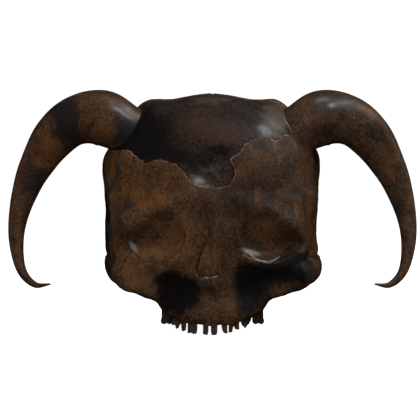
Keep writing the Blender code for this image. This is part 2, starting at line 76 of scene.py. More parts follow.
# Lines that part the bones, in millimetres. The first, the broken edge of the crust, runs from the left
# horn to the right one (across, height).
BROKEN_EDGE = (
    (-62.9, 124.4), (-57.9, 124.9), (-45, 115.6), (-34.6, 118.6), (-23.9, 114.7), (-19.4, 109.8),
    (-16.3, 105.3), (-11.7, 101.6), (-4.4, 99.8), (6.8, 99.8), (12.2, 101.8), (15, 107.7),
    (14.5, 113.6), (11.8, 118.5), (17.5, 122.4), (25.3, 131.7), (33, 132.8), (43.7, 131.1),
    (49.9, 135), (56.3, 135.4),
)
# Place on it where its pale rim, a painted highlight along the edge, fades.
RIM_GAP = (9, 107)
# Back edge of the bare dome, from right to left (across, depth).
DOME_BACK_EDGE = (
    (200, -20), (52, -19), (40, -24), (27, -19), (16, -25), (4, -21), (-9, -26), (-21, -20), (-33, -25),
    (-46, -19), (-200, -20),
)
# Inner edge of the left face plate, down to the nose (across, height).
LEFT_PLATE_EDGE = ((-11.7, 101.6), (-8.7, 95.1), (-5.8, 87.8), (-3.1, 77.6), (-2, 65.5), (-2.5, 36.4))
# Upper edge of the jaw, from left to right (across, height).
JAW_EDGE = (
    (-50.5, 18), (-38, 22), (-26, 29.6), (-14.6, 36.4), (11.6, 36.4), (24.5, 29.6), (38, 22),
    (50.5, 18),
)
# Back edge of the face plates, from the top down (depth, height).
FACE_BACK_EDGE = (
    (-24, 200), (-24, 131), (-29, 124), (-27, 116), (-33, 108), (-31, 99), (-37, 91), (-34, 82), (-39, 74),
    (-37, 65), (-42, 57), (-39, 48), (-43, 38), (-40, 28), (-42, -200),
)
JAW_BACK = -27.0

# Outlines of the carved openings (distance from the middle or across, height).
SOCKET_OUTLINE = (
    (56.4, 66.1), (49.5, 73), (41.9, 80.3), (35, 82.6), (29.1, 83), (23.7, 79.6), (20.2, 74.5),
    (18.6, 69.5), (18.9, 64.5), (21, 60), (28.4, 53.3), (34.5, 50.6), (41.2, 49.5), (50, 52.6),
    (55.4, 57.3), (57, 61.8),
)
NOSE_OUTLINE = (
    (-2, 65.5), (1.2, 62.5), (3.4, 58.7), (4.8, 49.2), (3.8, 40.5), (-1.5, 38.4), (-8.6, 39.4),
    (-11, 44), (-7.4, 56), (-4.6, 62),
)
# Outlines of black painted shade on the face plates and the jaw, below the sockets (across, height).
PAINTED_SHADE_OUTLINES = (
    ((-40.5, 38.4), (-34, 41.5), (-27, 44.5), (-19, 41), (-10.5, 38.7), (-8, 31), (-10, 20.5),
     (-23, 13.5), (-31.8, 15.5), (-37, 27)),
    ((18.5, 48.5), (31.1, 48), (42.6, 49.3), (52.7, 58), (67, 57), (68.5, 41), (62, 33),
     (52, 34.5), (42, 32.5), (34, 25.5), (27, 13), (19, 16), (14.5, 30), (14.5, 42.4)),
)

# Thin dark lines of painted shade along creases on the front: below the left socket, on the left cheek and
# beside the nose.
CREASES = (
    ((-55, 57.5), (-48.5, 51), (-41.2, 48.7), (-34.5, 49.4), (-28.4, 52.2)),
    ((-28.4, 52.2), (-22, 57.5), (-18.8, 64), (-19.3, 70.5)),
    ((-54.8, 56), (-59.5, 49.5), (-61.5, 43.8), (-60.8, 33.7)),
    ((-4.6, 62), (-7.4, 56), (-10.6, 45.5), (-11, 42)),
)
# Pale lines of painted highlight along lips: below the right socket and at the foot of the nose.
LIPS = (
    ((21, 54.6), (25.5, 52), (31.1, 50.4), (36.5, 49.7), (41, 50.2), (45.3, 52.6)),
    ((-5.5, 39.4), (-1.5, 38.6), (3.4, 40.2)),
)
# How far the skull's skin lies inside its solids, in millimetres: along the top (across, lowered by), and
# on either side (height, narrowed by).
TOP_FIT = ((-46, 0), (-42, 0.7), (-36, 2.3), (-28, 3.4), (-14, 3), (0, 3), (14, 2.9), (29, 4),
           (36, 2.9), (42, 0.8), (46, 0))
SIDE_FIT = {
    "left": ((0, 0), (20, 0.6), (30, 2.8), (41, 2.2), (48, 0.2), (53, -0.6), (60, 0.2), (69, 0.8),
             (75, 1.5), (80, 2.8), (97, 3.1), (103, 2.6), (109, 1.2), (118, 0)),
    "right": ((0, 0), (30, 1.2), (38, 0.3), (48, 0), (53, -0.4), (58, 1.6), (63, 3), (80, 3.9),
              (90, 4), (98, 4.6), (104, 4.4), (109, 3), (116, 2), (124, 0)),
}

# Softer patches of colour and polish on the front of the skull, by layer: middle (across, height), half
# sizes (wide, high), tilt in degrees and strength. One of negative strength takes the layer away.
PATCHES = {
    # Among the dark patches, the strong ones on the left temple beside the face, and those at the top and
    # upper left of the left socket, are painted shade.
    "dark": (
        (-63.5, 110.5, 5, 9, 0, 1), (-57, 85, 9, 7, 0, 0.9), (-63, 72, 4.5, 11, 0, 0.8),
        (-77, 90, 8.5, 15, 0, 2.7), (-77, 63, 8, 26, 0, 2.5), (-75, 38, 6.5, 15, 20, 1.6),
        (-46, 72, 11, 8, 35, 0.65), (75, 70, 5, 20, 0, 0.3), (-31, 82, 9, 4, 5, 0.8),
        (8, 86, 17, 17, 0, 0.4), (54.8, 94, 8, 8, 0, 0.7), (31, 112, 9, 17, 0, 0.5),
        (-3, 53, 3, 3, 0, 0.6), (9, 52, 4, 2.5, 0, 0.7), (-10, 41.5, 2.2, 4.5, 0, 1),
        (2, 23, 7, 14, 0, 0.4), (-101.5, 148, 13, 17, 15, 1.9), (-59, 138, 11, 15, -30, 1.7),
        (-125, 103, 11, 22, 10, 0.7), (-83, 141, 4, 6, 0, 0.7), (79, 137, 12, 9, 0, 0.7),
        (130, 85, 8, 16, 0, 0.6), (90, 150, 9, 12, -20, 0.6), (80, 158, 15, 8, 0, 0.8),
    ),
    "warm": (
        (-55, 100, 12, 14, 0, 0.5), (-40, 96, 22, 20, 0, 0.45), (-52, 40, 13, 14, 0, 1.2),
        (-27, 66, 8, 9, 0, 0.6), (-1.5, 53, 7, 13, 0, 1.2), (13, 57, 9, 14, -20, 0.35),
        (52, 110, 12, 16, -25, 0.35), (12, 20, 6, 12, 0, 0.35), (-90, 143, 10, 9, 0, 0.6),
        (-112, 124, 14, 15, 0, 1.2), (-75, 141, 8, 8, 0, 0.7), (107, 151, 9, 6, -20, 0.9),
        (121, 112, 10, 17, 20, 0.7), (-134, 66, 4, 16, 0, 0.6), (42, 24, 15, 3.5, 30, 1.2),
        (73.5, 52, 4, 10, 0, 1.6),
    ),
    # Among the pale patches, the lit slope below the left socket, the start of the lower rim of the right
    # socket and the spot on the sill of the nose are painted highlights.
    "pale": (
        (-41, 55.5, 17, 6.5, -8, 1.7), (-28, 66, 6, 9, 0, 0.4), (-50, 38, 14, 14, 0, 1.15),
        (-1.5, 53, 7, 13, 0, 0.9), (-92, 140, 22, 12, 0, -1), (9, 87, 26, 20, 0, -0.9),
        (33, 108, 12, 16, 0, -0.4), (22, 54, 4, 6, 40, 0.8), (-0.5, 99.5, 13, 3, 0, 0.7),
        (42, 24, 15, 3.5, 30, 0.9), (-7, 38.8, 3, 1.6, 0, 0.8),
    ),
    "polish": (
        (-52, 58, 7, 8, 0, 1.6), (33, 52.5, 17, 6, -5, 1.6), (-5, 40, 5, 3, 0, 1.2),
        (-60, 153, 14, 10, -35, 1.7), (79, 160, 17, 10, 0, 1.8),
    ),
    # Glints: painted highlights on the lower rims of the sockets.
    "glint": (
        (-53.6, 58.8, 6, 2.6, -56, 1), (25, 56.4, 8.5, 2.3, -17, 0.9), (33, 54.6, 14, 3, 0, 0.3),
    ),
}
DOME_PATCHES = {
    # The thin dark patch above the dent is a painted shadow under the dome's overhang.
    "dark": (
        (-50, 132, 34, 32, 0, 1.6), (-20, 118, 18, 12, 0, 0.9), (33, 139, 8, 9, -35, 0.9),
        (5, 125.5, 14, 4.5, 0, 1.1),
    ),
    "warm": (
        (-8, 141, 26, 15, 0, 0.9), (10, 133, 20, 9, -10, 0.6), (8, 119, 7, 6, 0, 0.8),
    ),
    # Among the pale patches, the spot at the lower left of the dent is a painted highlight, and the long
    # strip along the top is partly the dome's own tint and partly painted sheen.
    "pale": (
        (43, 146, 15, 13, -20, 1.2), (-36, 152, 8, 6, 20, 0.5), (6, 161, 46, 6, 0, 0.7),
        (-12, 106, 8, 5, -30, 0.9), (2, 112, 14, 9, 0, 0.45), (49, 151, 9, 9, -30, 1.4),
    ),
    "polish": (
        (-9, 107, 13, 8, 0, 1.4), (44, 147, 20, 17, -20, 1.5), (-38, 153, 14, 8, 20, 1.2),
        (0, 160, 34, 8, 0, 1.3),
    ),
}
# Layers that every material of bone or horn reads. The glints, painted highlights, are read by the crust
# alone.
LAYERS = ("dark", "warm", "pale", "polish")
# A patch fades out at this many times its half sizes.
PATCH_REACH = 1.25
# How light and how orange each piece of bone or horn is.
TONES = {
    "braincase": (-0.08, 0.40), "face_left": (-0.01, 0.72), "face_right": (-0.23, 0.45),
    "upper_jaw": (-0.18, 0.40), "arch_left": (-0.3, 0.3), "arch_right": (-0.3, 0.3),
    "horn_left": (-0.28, 0.55), "horn_right": (-0.12, 0.35),
}

# Centre lines of the horns: distance from the middle, depth, height, radius.
HORN_POINTS = (
    (46, -29, 129.5, 15.5), (61, -30, 139.5, 17.4), (75, -29, 146.5, 19.4), (88, -27, 147, 18.1),
    (100, -24, 142.5, 16.6), (111, -20, 132.5, 15.2), (120, -17, 119.5, 12.9), (129, -17, 101.5, 10),
    (135.5, -20, 78.5, 6.9), (136.6, -25, 59.5, 5.1), (132.5, -31, 41, 3.4), (123, -36, 31.5, 2.2),
    (112, -40, 32, 0.6),
)

# Where the ridge and the crease beside it run, as angles from the horn's outer side.
RIDGE_ANGLE, CREASE_ANGLE = 0.75, 1.25
# The attributes that hold each point's place along and around its horn.
GRAIN = ("along", "round", "across")

# Points along each horn's centre line, and how round its tube is.
HORN_STEPS, HORN_ROUNDNESS = 220, 22

# Front outlines of the teeth: where the left and right sides leave the jaw, and the worn tip between them.
FRONT_TEETH = (
    (-33.3, -28.8, ((-34.2, 8), (-32.6, 7.8), (-33, 6.4), (-29.4, 6.8))),
    (-27.9, -21.8, ((-27.8, 5.4), (-25.4, 6.2), (-24.9, 3.2), (-22.9, 4))),
    (-21.2, -17.6, ((-20.9, 2.7), (-20, 1.9), (-18, 3))),
    (-16.8, -10.2, ((-16.8, 0.9), (-14.2, 1.6), (-13.3, 0.7), (-10.8, 0.9))),
    (-6.4, -2.7, ((-6.5, 0.9), (-3.5, 0))),
    (-1.1, 3.3, ((-0.5, 0), (3, 0.5))),
    (6.1, 9.9, ((6.9, 2.6), (8.8, 0.9), (10.1, 1.5))),
    (10.8, 13.8, ((10.8, 1.7), (13.2, 2))),
    (14.4, 18, ((15.2, 3.7), (18.1, 3.4))),
    (19.4, 26.3, ((22.4, 3.8), (23.2, 5.7), (24.3, 6.3))),
    (27.2, 32, ((27.5, 7), (30, 6.5), (30.4, 8.4), (32.9, 8))),
)
# Height of the teeth's roots inside the jaw, and how deep the blocks are that the teeth start from.
TOOTH_ROOT, TOOTH_DEPTH = 17, 5.0
# The molars of one side: distance from the middle, depth, width and height of the tip.
MOLARS = ((31.5, -47, 8.5, 5), (31.5, -38, 8.5, 5))
# The half ellipse that the row of teeth follows.
JAW_ARCH = {"half_width": 34, "back": -34, "depth": 49.0}

# How far the brow and the cheeks lie behind those of the solids, and the outer socket rims beside them.
BROW_FLAT, CHEEK_FLAT, RIM_SPREAD = 3.8, 2.2, 7.5
# Share of the faces of the braincase that is kept.
BRAINCASE_FACES = 0.66
# Plane that cuts a horn off outside its pocket: distance from the middle, depth and height, and its normal.
POCKET_CUT, POCKET_NORMAL = (66, -29, 141), (0.9, 0, 0.43)


# Small tools for objects and meshes.

def only(obj):
    """Selects obj alone and makes it the active one."""
    bpy.ops.object.select_all(action="DESELECT")
    obj.select_set(True)
    bpy.context.view_layer.objects.active = obj


def remove(obj):
    bpy.data.objects.remove(obj)


def edit(obj, operator, **settings):
    """Runs a mesh operator on the whole of obj."""
    only(obj)
    bpy.ops.object.mode_set(mode="EDIT")
    bpy.ops.mesh.select_all(action="SELECT")
    operator(**settings)
    bpy.ops.object.mode_set(mode="OBJECT")


def linked(name, mesh):
    made = bpy.data.objects.new(name, mesh)
    bpy.context.scene.collection.objects.link(made)
    return made


def copy_of(obj, name):
    return linked(name, obj.data.copy())


def node_copy(node, name):
    """A merged copy of a CAD node, to be shaped."""
    made = copy_of(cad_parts[node], name)
    made.data.materials.clear()
    edit(made, bpy.ops.mesh.remove_doubles, threshold=0.01 * MM)
    bpy.ops.mesh.customdata_custom_splitnormals_clear()
    return made


def extruded(name, outline, step):
    """A closed block: a flat outline of points, moved by step. Both are in millimetres."""
    mesh = bpy.data.meshes.new(name)
    corners = np.array(outline, float) * MM
    mesh.from_pydata([tuple(corner) for corner in corners], [], [tuple(range(len(corners)))])
    made = linked(name, mesh)
    move = {"value": [length * MM for length in step]}
    edit(made, bpy.ops.mesh.extrude_region_move, TRANSFORM_OT_translate=move)
    edit(made, bpy.ops.mesh.normals_make_consistent, inside=False)
    return made


def finish_with(obj, kind, **settings):
    """Adds a modifier, sets it and applies it."""
    only(obj)
    step = obj.modifiers.new(kind.lower(), kind)
    for key, value in settings.items():
        setattr(step, key, value)
    bpy.ops.object.modifier_apply(modifier=step.name)


def joined(objects, name):
    only(objects[0])
    for obj in objects[1:]:
        obj.select_set(True)
    bpy.ops.object.join()
    objects[0].name = objects[0].data.name = name
    return objects[0]


def reskin(obj, voxel_size, rounds):
    """Remeshes obj evenly and smooths it."""
    finish_with(obj, "REMESH", mode="VOXEL", voxel_size=voxel_size)
    finish_with(obj, "SMOOTH", factor=0.5, iterations=rounds)


def cut(obj, other, operation):
    """Combines obj with other, which stays as it is."""
    finish_with(obj, "BOOLEAN", operation=operation, solver="MANIFOLD", object=other)


def vectors_of(obj, name):
    """One vector for each vertex of obj."""
    flat = np.empty(len(obj.data.vertices) * 3, np.float32)
    obj.data.vertices.foreach_get(name, flat)
    return flat.reshape(-1, 3).astype(float)


def points_of(obj):
    """The vertices in millimetres."""
    return vectors_of(obj, "co") / MM


def normals_of(obj):
    return vectors_of(obj, "normal")


def set_points(obj, points):
    obj.data.vertices.foreach_set("co", (points * MM).astype(np.float32).ravel())
    obj.data.update()


def store(obj, name, values):
    """Keeps one number for each vertex, for the materials to read."""
    layer = obj.data.attributes.new(name, "FLOAT", "POINT")
    layer.data.foreach_set("value", values.astype(np.float32))


def rough_noise(points, size, stretch=(1, 1, 1), seed=0.0):
    """Noise from -1 to 1 at each point, with features of about size millimetres."""
    scaled = points / (size * np.array(stretch)) + seed
    return np.array([noise.noise(Vector(point)) for point in scaled])


# Lines and outlines drawn on the surface.

def curve_through(points, count=24, closed=False):
    """A smooth Catmull-Rom run of count points through the given ones."""
    knots = np.array(points, float)
    if closed:
        knots = np.vstack([knots[-1], knots, knots[0], knots[1]])
    else:
        knots = np.vstack([2 * knots[0] - knots[1], knots, 2 * knots[-1] - knots[-2]])
    spans = len(knots) - 3
    run = []
    for step in np.linspace(0, spans, count, endpoint=not closed):
        i = min(int(step), spans - 1)
        t = step - i
        a, b, c, d = knots[i : i + 4]
        bend, twist = 2 * a - 5 * b + 4 * c - d, 3 * b - a - 3 * c + d
        run.append(0.5 * (2 * b + (c - a) * t + bend * t**2 + twist * t**3))
    return np.array(run)


def ragged(line, spacing, depth, seed):
    """The line with a small, irregular zigzag added between its points."""
    run = []
    for (ax, ay), (bx, by) in zip(line, line[1:]):
        length = math.hypot(bx - ax, by - ay)
        steps = max(1, round(min(length, FAR / 2) / spacing))
        for i in range(steps):
            t = i / steps
            away = 0.0
            if i:
                away = depth * noise.noise(Vector((ax + bx * t, ay + by * t, seed + i * 3.7))) * 2
            run.append((ax + (bx - ax) * t - (by - ay) / length * away,
                        ay + (by - ay) * t + (bx - ax) / length * away))
    return [*run, tuple(line[-1])]


def distance_to(line, a, b, reach, closed=False):
    """Distance of the points (a, b) from a line, up to reach."""
    line = [tuple(point) for point in line]
    if closed:
        line.append(line[0])
    found = np.full(len(a), float(reach))
    for (ax, ay), (bx, by) in zip(line, line[1:]):
        near = np.flatnonzero(
            (a > min(ax, bx) - reach) & (a < max(ax, bx) + reach)
            & (b > min(ay, by) - reach) & (b < max(ay, by) + reach)
        )
        if len(near) == 0:
            continue
        dx, dy = bx - ax, by - ay
        share = ((a[near] - ax) * dx + (b[near] - ay) * dy) / max(dx * dx + dy * dy, 1e-9)
        share = np.clip(share, 0, 1)
        gap = np.hypot(a[near] - ax - share * dx, b[near] - ay - share * dy)
        found[near] = np.minimum(found[near], gap)
    return found


def is_inside(outline, a, b):
    inside = np.zeros(len(a), bool)
    for (ax, ay), (bx, by) in zip(outline, [*outline[1:], outline[0]]):
        if ay != by:
            crosses = (ay > b) != (by > b)
            inside ^= crosses & (a < (bx - ax) * (b - ay) / (by - ay) + ax)
    return inside


def depth_in(outline, a, b, reach):
    """How far (a, b) lies inside an outline, or outside it as a negative number."""
    outline = [tuple(point) for point in outline]
    gap = distance_to(outline, a, b, reach, closed=True)
    return np.where(is_inside(outline, a, b), gap, -gap)


def rise(value, start, end):
    """0 up to start, 1 from end on, and a soft slope between."""
    share = np.clip((value - start) / (end - start), 0, 1)
    return share * share * (3 - 2 * share)


def bump(distance):
    """1 at the centre, falling smoothly to 0 at distance 1 and beyond."""
    return np.clip(1 - distance**2, 0, 1) ** 2


def dab(a, b, centre, radii):
    return bump(np.hypot((a - centre[0]) / radii[0], (b - centre[1]) / radii[1]))


EDGE = ragged(BROKEN_EDGE, 1.5, 0.7, 2.0)
DOME_BACK = ragged(DOME_BACK_EDGE, 1.6, 1.0, 11.0)
PLATE_EDGE = ragged(LEFT_PLATE_EDGE, 2.0, 0.35, 5.0)
JAW_LINE = ragged(JAW_EDGE, 1.8, 0.6, 17.0)
FACE_BACK = ragged(FACE_BACK_EDGE, 1.6, 1.0, 23.0)

# Seams of the braincase: the side they are drawn on and their points.
BACK_SEAM = ((0, 118), (12, 112), (26, 104), (40, 91), (54, 76), (64, 62))
SEAMS = (
    ("top", ((-1, -22), (1, -5), (-1, 15), (1, 35), (0, 55), (0, 76))),
    *(("back", [(sign * across, height) for across, height in BACK_SEAM]) for sign in SIDES.values()),
    ("side", ((-31, 62), (-24, 78), (-10, 90), (8, 95), (24, 90), (36, 78), (42, 64))),
)


def painted(patches, x, z):
    """The strength of one layer's patches at each point of the front."""
    total = np.zeros(len(x))
    for middle_x, middle_z, wide, high, tilt, strength in patches:
        turn = math.radians(tilt)
        a, b = x - middle_x, z - middle_z
        along = a * math.cos(turn) + b * math.sin(turn)
        across = b * math.cos(turn) - a * math.sin(turn)
        total += strength * bump(np.hypot(along / wide, across / high) / PATCH_REACH)
    return total


def seam_distance(x, y, z, reach):
    """Distance of each point from the nearest seam of the braincase."""
    above, behind, beside = rise(z, 92, 100), rise(y, 30, 40), rise(np.abs(x), 45, 52)
    sides = {"top": (x, y, above), "back": (x, z, behind), "side": (y, z, beside)}
    found = distance_to(DOME_BACK, x, y, reach) * above + reach * rise(-z, -100, -92)
    for number, (name, line) in enumerate(SEAMS):
        a, b, shown = sides[name]
        wavy = ragged(curve_through(line), 1.7, 2.2, 31.0 + number)
        found = np.minimum(found, reach - (reach - distance_to(wavy, a, b, reach)) * shown)
    return found


# The head.

def horn_root(side):
    """The part of a horn inside the head, which fills the horn's pocket."""
    made = node_copy(f"horn_{side}", f"horn_root_{side}")
    mirror = Vector((SIDES[side], 1, 1))
    edit(
        made, bpy.ops.mesh.bisect, plane_co=mirror * Vector(POCKET_CUT) * MM,
        plane_no=mirror * Vector(POCKET_NORMAL), use_fill=True, clear_outer=True,
    )
    return made


def fused_head(sizes):
    """The five bones of the head as one smooth skin."""
    forms = [node_copy(node, f"{node}_form") for node in HEAD_PIECES]
    forms += [horn_root(side) for side in SIDES]
    for form in forms:
        finish_with(form, "DISPLACE", strength=0.28 * MM, mid_level=0.0)
    head = joined(forms, "head")
    reskin(head, 1.2 * MM, 20)
    soften(head)
    reskin(head, sizes.skin, 2)
    return head


def on_face(y):
    """1 on the face, fading to 0 towards the temples."""
    return rise(-y, 38, 56)


def soften(head):
    """Smooths the dent, the nose and the sockets, whose edges are worn away."""
    x, y, z = points_of(head).T
    away = np.abs(x)
    soft = np.maximum(0.3 * dab(x, z, (-1, 112), (34, 26)), dab(x, z, (-3, 50), (16, 20)))
    soft = np.maximum(soft, 0.45 * dab(away, z, (37, 76), (34, 24)))
    soft *= on_face(y)
    group = head.vertex_groups.new(name="soft")
    levels = np.round(soft * 10).astype(int)
    for level in range(1, 11):
        group.add(np.flatnonzero(levels == level).tolist(), level / 10, "REPLACE")
    finish_with(head, "SMOOTH", factor=0.5, iterations=60, vertex_group="soft")
    head.vertex_groups.clear()


def socket_push(away, z, sizes):
    """A shallow bowl, soft above, with a lip and a broad slope below that takes the light."""
    depth = depth_in(curve_through(SOCKET_OUTLINE, 64, closed=True), away, z, 16.0)
    low = rise(-z, -78, -60)
    fill = -sizes.socket_fill / MM * rise(depth, 0, 12)
    lip = -0.7 * bump((depth + 1.2) / 2.2) * low
    drop = (5.0 + 2.5 * rise(away, 34, 52)) * rise(depth, -0.8, 8.0) * low
    return fill + lip + drop


def nose_push(x, z):
    """A shallow leaf-shaped opening with a crease down its left side and a thin sill."""
    depth = depth_in(curve_through(NOSE_OUTLINE, 48, closed=True), x, z, 8.0)
    crease = 1.3 * bump(depth / 1.4) * rise(-x, 1, 4) * rise(z, 40, 46)
    floor = 1.0 * bump((depth - 1.0) / 1.5) * rise(-z, -44, -40)
    sill = -0.8 * bump((depth + 0.8) / 1.5) * rise(-z, -46, -40)
    return -3.2 * rise(depth, -1.0, 4.5) + crease + floor + sill


def ridge(line, a, b, width, height):
    gap = distance_to(curve_through(line), a, b, width)
    return -height * bump(gap / width)


def face_push(x, z, sizes):
    """How far the front of the head moves back at each point, in millimetres."""
    away = np.abs(x)
    push = socket_push(away, z, sizes) + nose_push(x, z)
    push += BROW_FLAT * np.exp(-(((z - 86) / 11) ** 2)) * (1 - rise(away, 50, 68))
    push += CHEEK_FLAT * np.exp(-(((z - 41) / 8) ** 2)) * rise(away, 30, 40) * (1 - rise(away, 56, 66))
    push += ridge(((54.8, 54.0), (61.5, 44.0), (59.5, 32.5)), away, z, 2.6, 0.5)
    push += 1.2 * dab(away, z, (29.5, 43.5), (2.2, 1.8))
    for left, right, _ in FRONT_TEETH:
        middle = (left + right) / 2
        push -= 0.35 * bump((x - middle) / (0.62 * (right - left))) * rise(-z, -22, -12)
    return push


def level_at(stops, place):
    """The value between the given stops at each place, with soft corners."""
    places, values = zip(*stops)
    shifts = (-3, 0, 3)
    return sum(np.interp(place + shift, places, values) for shift in shifts) / len(shifts)


def fitted(points):
    """Draws the sides and the top of the skull in, and moves the outer rims of the sockets out."""
    x, y, z = points.T
    inward = np.where(x < 0, level_at(SIDE_FIT["left"], z), level_at(SIDE_FIT["right"], z))
    fit = points.copy()
    fit[:, 0] -= np.sign(x) * inward * rise(np.abs(x), 42, 70)
    beside = rise(np.abs(x), 46, 62) * rise(-y, 28, 42) * rise(z, 46, 56) * rise(-z, -112, -88)
    fit[:, 0] += np.sign(x) * RIM_SPREAD * beside
    fit[:, 2] -= level_at(TOP_FIT, x) * rise(z, 138, 160)
    return fit


def boxed(points):
    """Keeps the points inside the box of the solids and just above the floor."""
    return np.clip(points, (*CAD_LOW[:2], 0.05), CAD_HIGH)


def gum_line(x):
    """Height of the jaw's lower edge between the teeth."""
    return 6.9 + 6.6 * np.clip(np.abs(x) / 33, 0, 1.1) ** 2


def carve(head, sizes):
    """Works the details into the skin of the fused head."""
    points = points_of(head)
    x, y, z = points.T
    points[:, 1] += face_push(x, z, sizes) * on_face(y)
    points = fitted(points)
    # What hangs below the gums is drawn up, so the teeth stand clear.
    points[:, 2] += 0.88 * np.clip(gum_line(x) - z, 0, None) * rise(-y, 27, 29)
    set_points(head, points)
    points, normals = points_of(head), normals_of(head)
    x, y, z = points.T
    seams = seam_distance(x, y, z, 6.0)
    groove = sizes.seam_depth / MM * (0.45 * bump((seams - 2.2) / 2.0) - bump(seams / 1.5))
    swell = sizes.swell / MM * rough_noise(points, 13.0, seed=4.0)
    smooth_dome = rise(z, 99, 101) * rise(-y, 19, 22) * is_inside(dome_outline(), x, z)
    pits = 0.16 * rough_noise(points, 3.4, (1, 1, 1.3), 9.0) + 0.07 * rough_noise(points, 1.9, seed=21.0)
    push = groove + swell * (1 - 0.7 * smooth_dome) + pits * (1 - 0.85 * smooth_dome)
    set_points(head, boxed(points + normals * push[:, None]))


def dome_outline():
    return [(-FAR, EDGE[0][1]), *EDGE, (FAR, EDGE[-1][1]), (FAR, FAR), (-FAR, FAR)]


def regions():
    """What each bone fills: its outline from the front, a second outline and that one's axis."""
    split = EDGE.index(LEFT_PLATE_EDGE[0]) + 1
    nose = PLATE_EDGE[-1][0]
    left_jaw = [point for point in JAW_LINE if point[0] < nose][::-1]
    right_jaw = [point for point in JAW_LINE if point[0] > nose][::-1]
    left, right, jaw_end = EDGE[0][1], EDGE[-1][1], JAW_LINE[0][1]
    dome_plan = ([*DOME_BACK, (-FAR, -FAR), (FAR, -FAR)], "Z")
    face_side = ([*FACE_BACK, (-FAR, -FAR), (-FAR, FAR)], "X")
    jaw_side = ([(JAW_BACK, FAR), (JAW_BACK, -FAR), (-FAR, -FAR), (-FAR, FAR)], "X")
    return {
        "bare_dome": (dome_outline(), *dome_plan),
        "face_left": (
            [(-FAR, left), *EDGE[:split], *PLATE_EDGE[1:], *left_jaw, (-FAR, jaw_end)], *face_side,
        ),
        "face_right": (
            [*PLATE_EDGE[::-1], *EDGE[split:], (FAR, right), (FAR, jaw_end), *right_jaw], *face_side,
        ),
        "upper_jaw": ([(-FAR, jaw_end), *JAW_LINE, (FAR, jaw_end), (FAR, -FAR), (-FAR, -FAR)], *jaw_side),
    }


def prism(outline, axis):
    """A long block with the given outline, extruded along an axis."""
    along = "XYZ".index(axis)
    step = [2 * FAR if number == along else 0 for number in range(3)]
    return extruded("prism", [(*corner[:along], -FAR, *corner[along:]) for corner in outline], step)


def parted(head):
    """Parts the head along its lines and returns the bones by node name. The braincase is what is left."""
    bones, blocks = {}, []
    for name, (outline, second, axis) in regions().items():
        block, limit = prism(outline, "Y"), prism(second, axis)
        cut(block, limit, "INTERSECT")
        remove(limit)
        blocks.append(block)
        bones[name] = copy_of(head, name)
        cut(bones[name], block, "INTERSECT")
    for block in blocks:
        cut(head, block, "DIFFERENCE")
        remove(block)
    finish_with(head, "DECIMATE", ratio=BRAINCASE_FACES)
    bones["braincase"] = head
    return bones


def outward(points):
    """Unit directions away from the middle of the head, the same for all bones."""
    away = (points - (0, -25, 80)) / np.array((80, 60, 86)) ** 2
    return away / np.linalg.norm(away, axis=1)[:, None]


def raise_edges(name, bone, sizes):
    """Lets the crust stand above the bare dome, and the left plate above its neighbour."""
    points = points_of(bone)
    x, y, z = points.T
    gap = distance_to(EDGE, x, z, 12) + 12 * rise(y, -34, -24)
    near = rise(-gap, -12, -9)
    share = -0.7 if name == "bare_dome" else 0.3
    step = share * sizes.crust_step / MM * np.exp(-gap / 3.0) * near
    if name == "face_left":
        plate = distance_to(PLATE_EDGE, x, z, 12)
        step += 0.2 * np.exp(-plate / 6.0) * rise(-plate, -12, -9)
    set_points(bone, boxed(points + outward(points) * step[:, None]))


def wander(points, height, *sizes_and_seeds):
    """Noise in two sizes, the second half as high, to lead an edge astray."""
    return sum(
        height / share * rough_noise(points, size, seed=seed)
        for share, (size, seed) in enumerate(sizes_and_seeds, start=1)
    )


def paint(piece, patches, facing=1.0):
    """Stores the layers of patches, times facing. Their edges wander, and they fade towards the back."""
    points = points_of(piece)
    x, y, z = points.T
    shown = rise(wander(points, 12.0, (13.0, 110.0), (4.5, 130.0)) - y, -26, 0) * facing
    x = x + wander(points, 5.0, (11.0, 50.0), (4.0, 90.0))
    z = z + wander(points, 5.0, (11.0, 70.0), (4.0, 30.0))
    for layer in LAYERS:
        store(piece, layer, painted(patches[layer], x, z) * shown)


def wear(piece, rounds, kept=1.0):
    """Stores how far each point stands above its surroundings, times kept."""
    points, normals = points_of(piece), normals_of(piece)
    soft = copy_of(piece, "softened")
    finish_with(soft, "SMOOTH", factor=0.5, iterations=rounds)
    store(piece, "worn", ((points - points_of(soft)) * normals).sum(1) * kept)
    remove(soft)


def lines_distance(lines, x, y, z):
    """Distance from the nearest of some lines drawn on the front."""
    gaps = [distance_to(line, x, z, LINE_REACH) for line in lines]
    return np.where(y < FRONT, np.minimum.reduce(gaps), LINE_REACH)


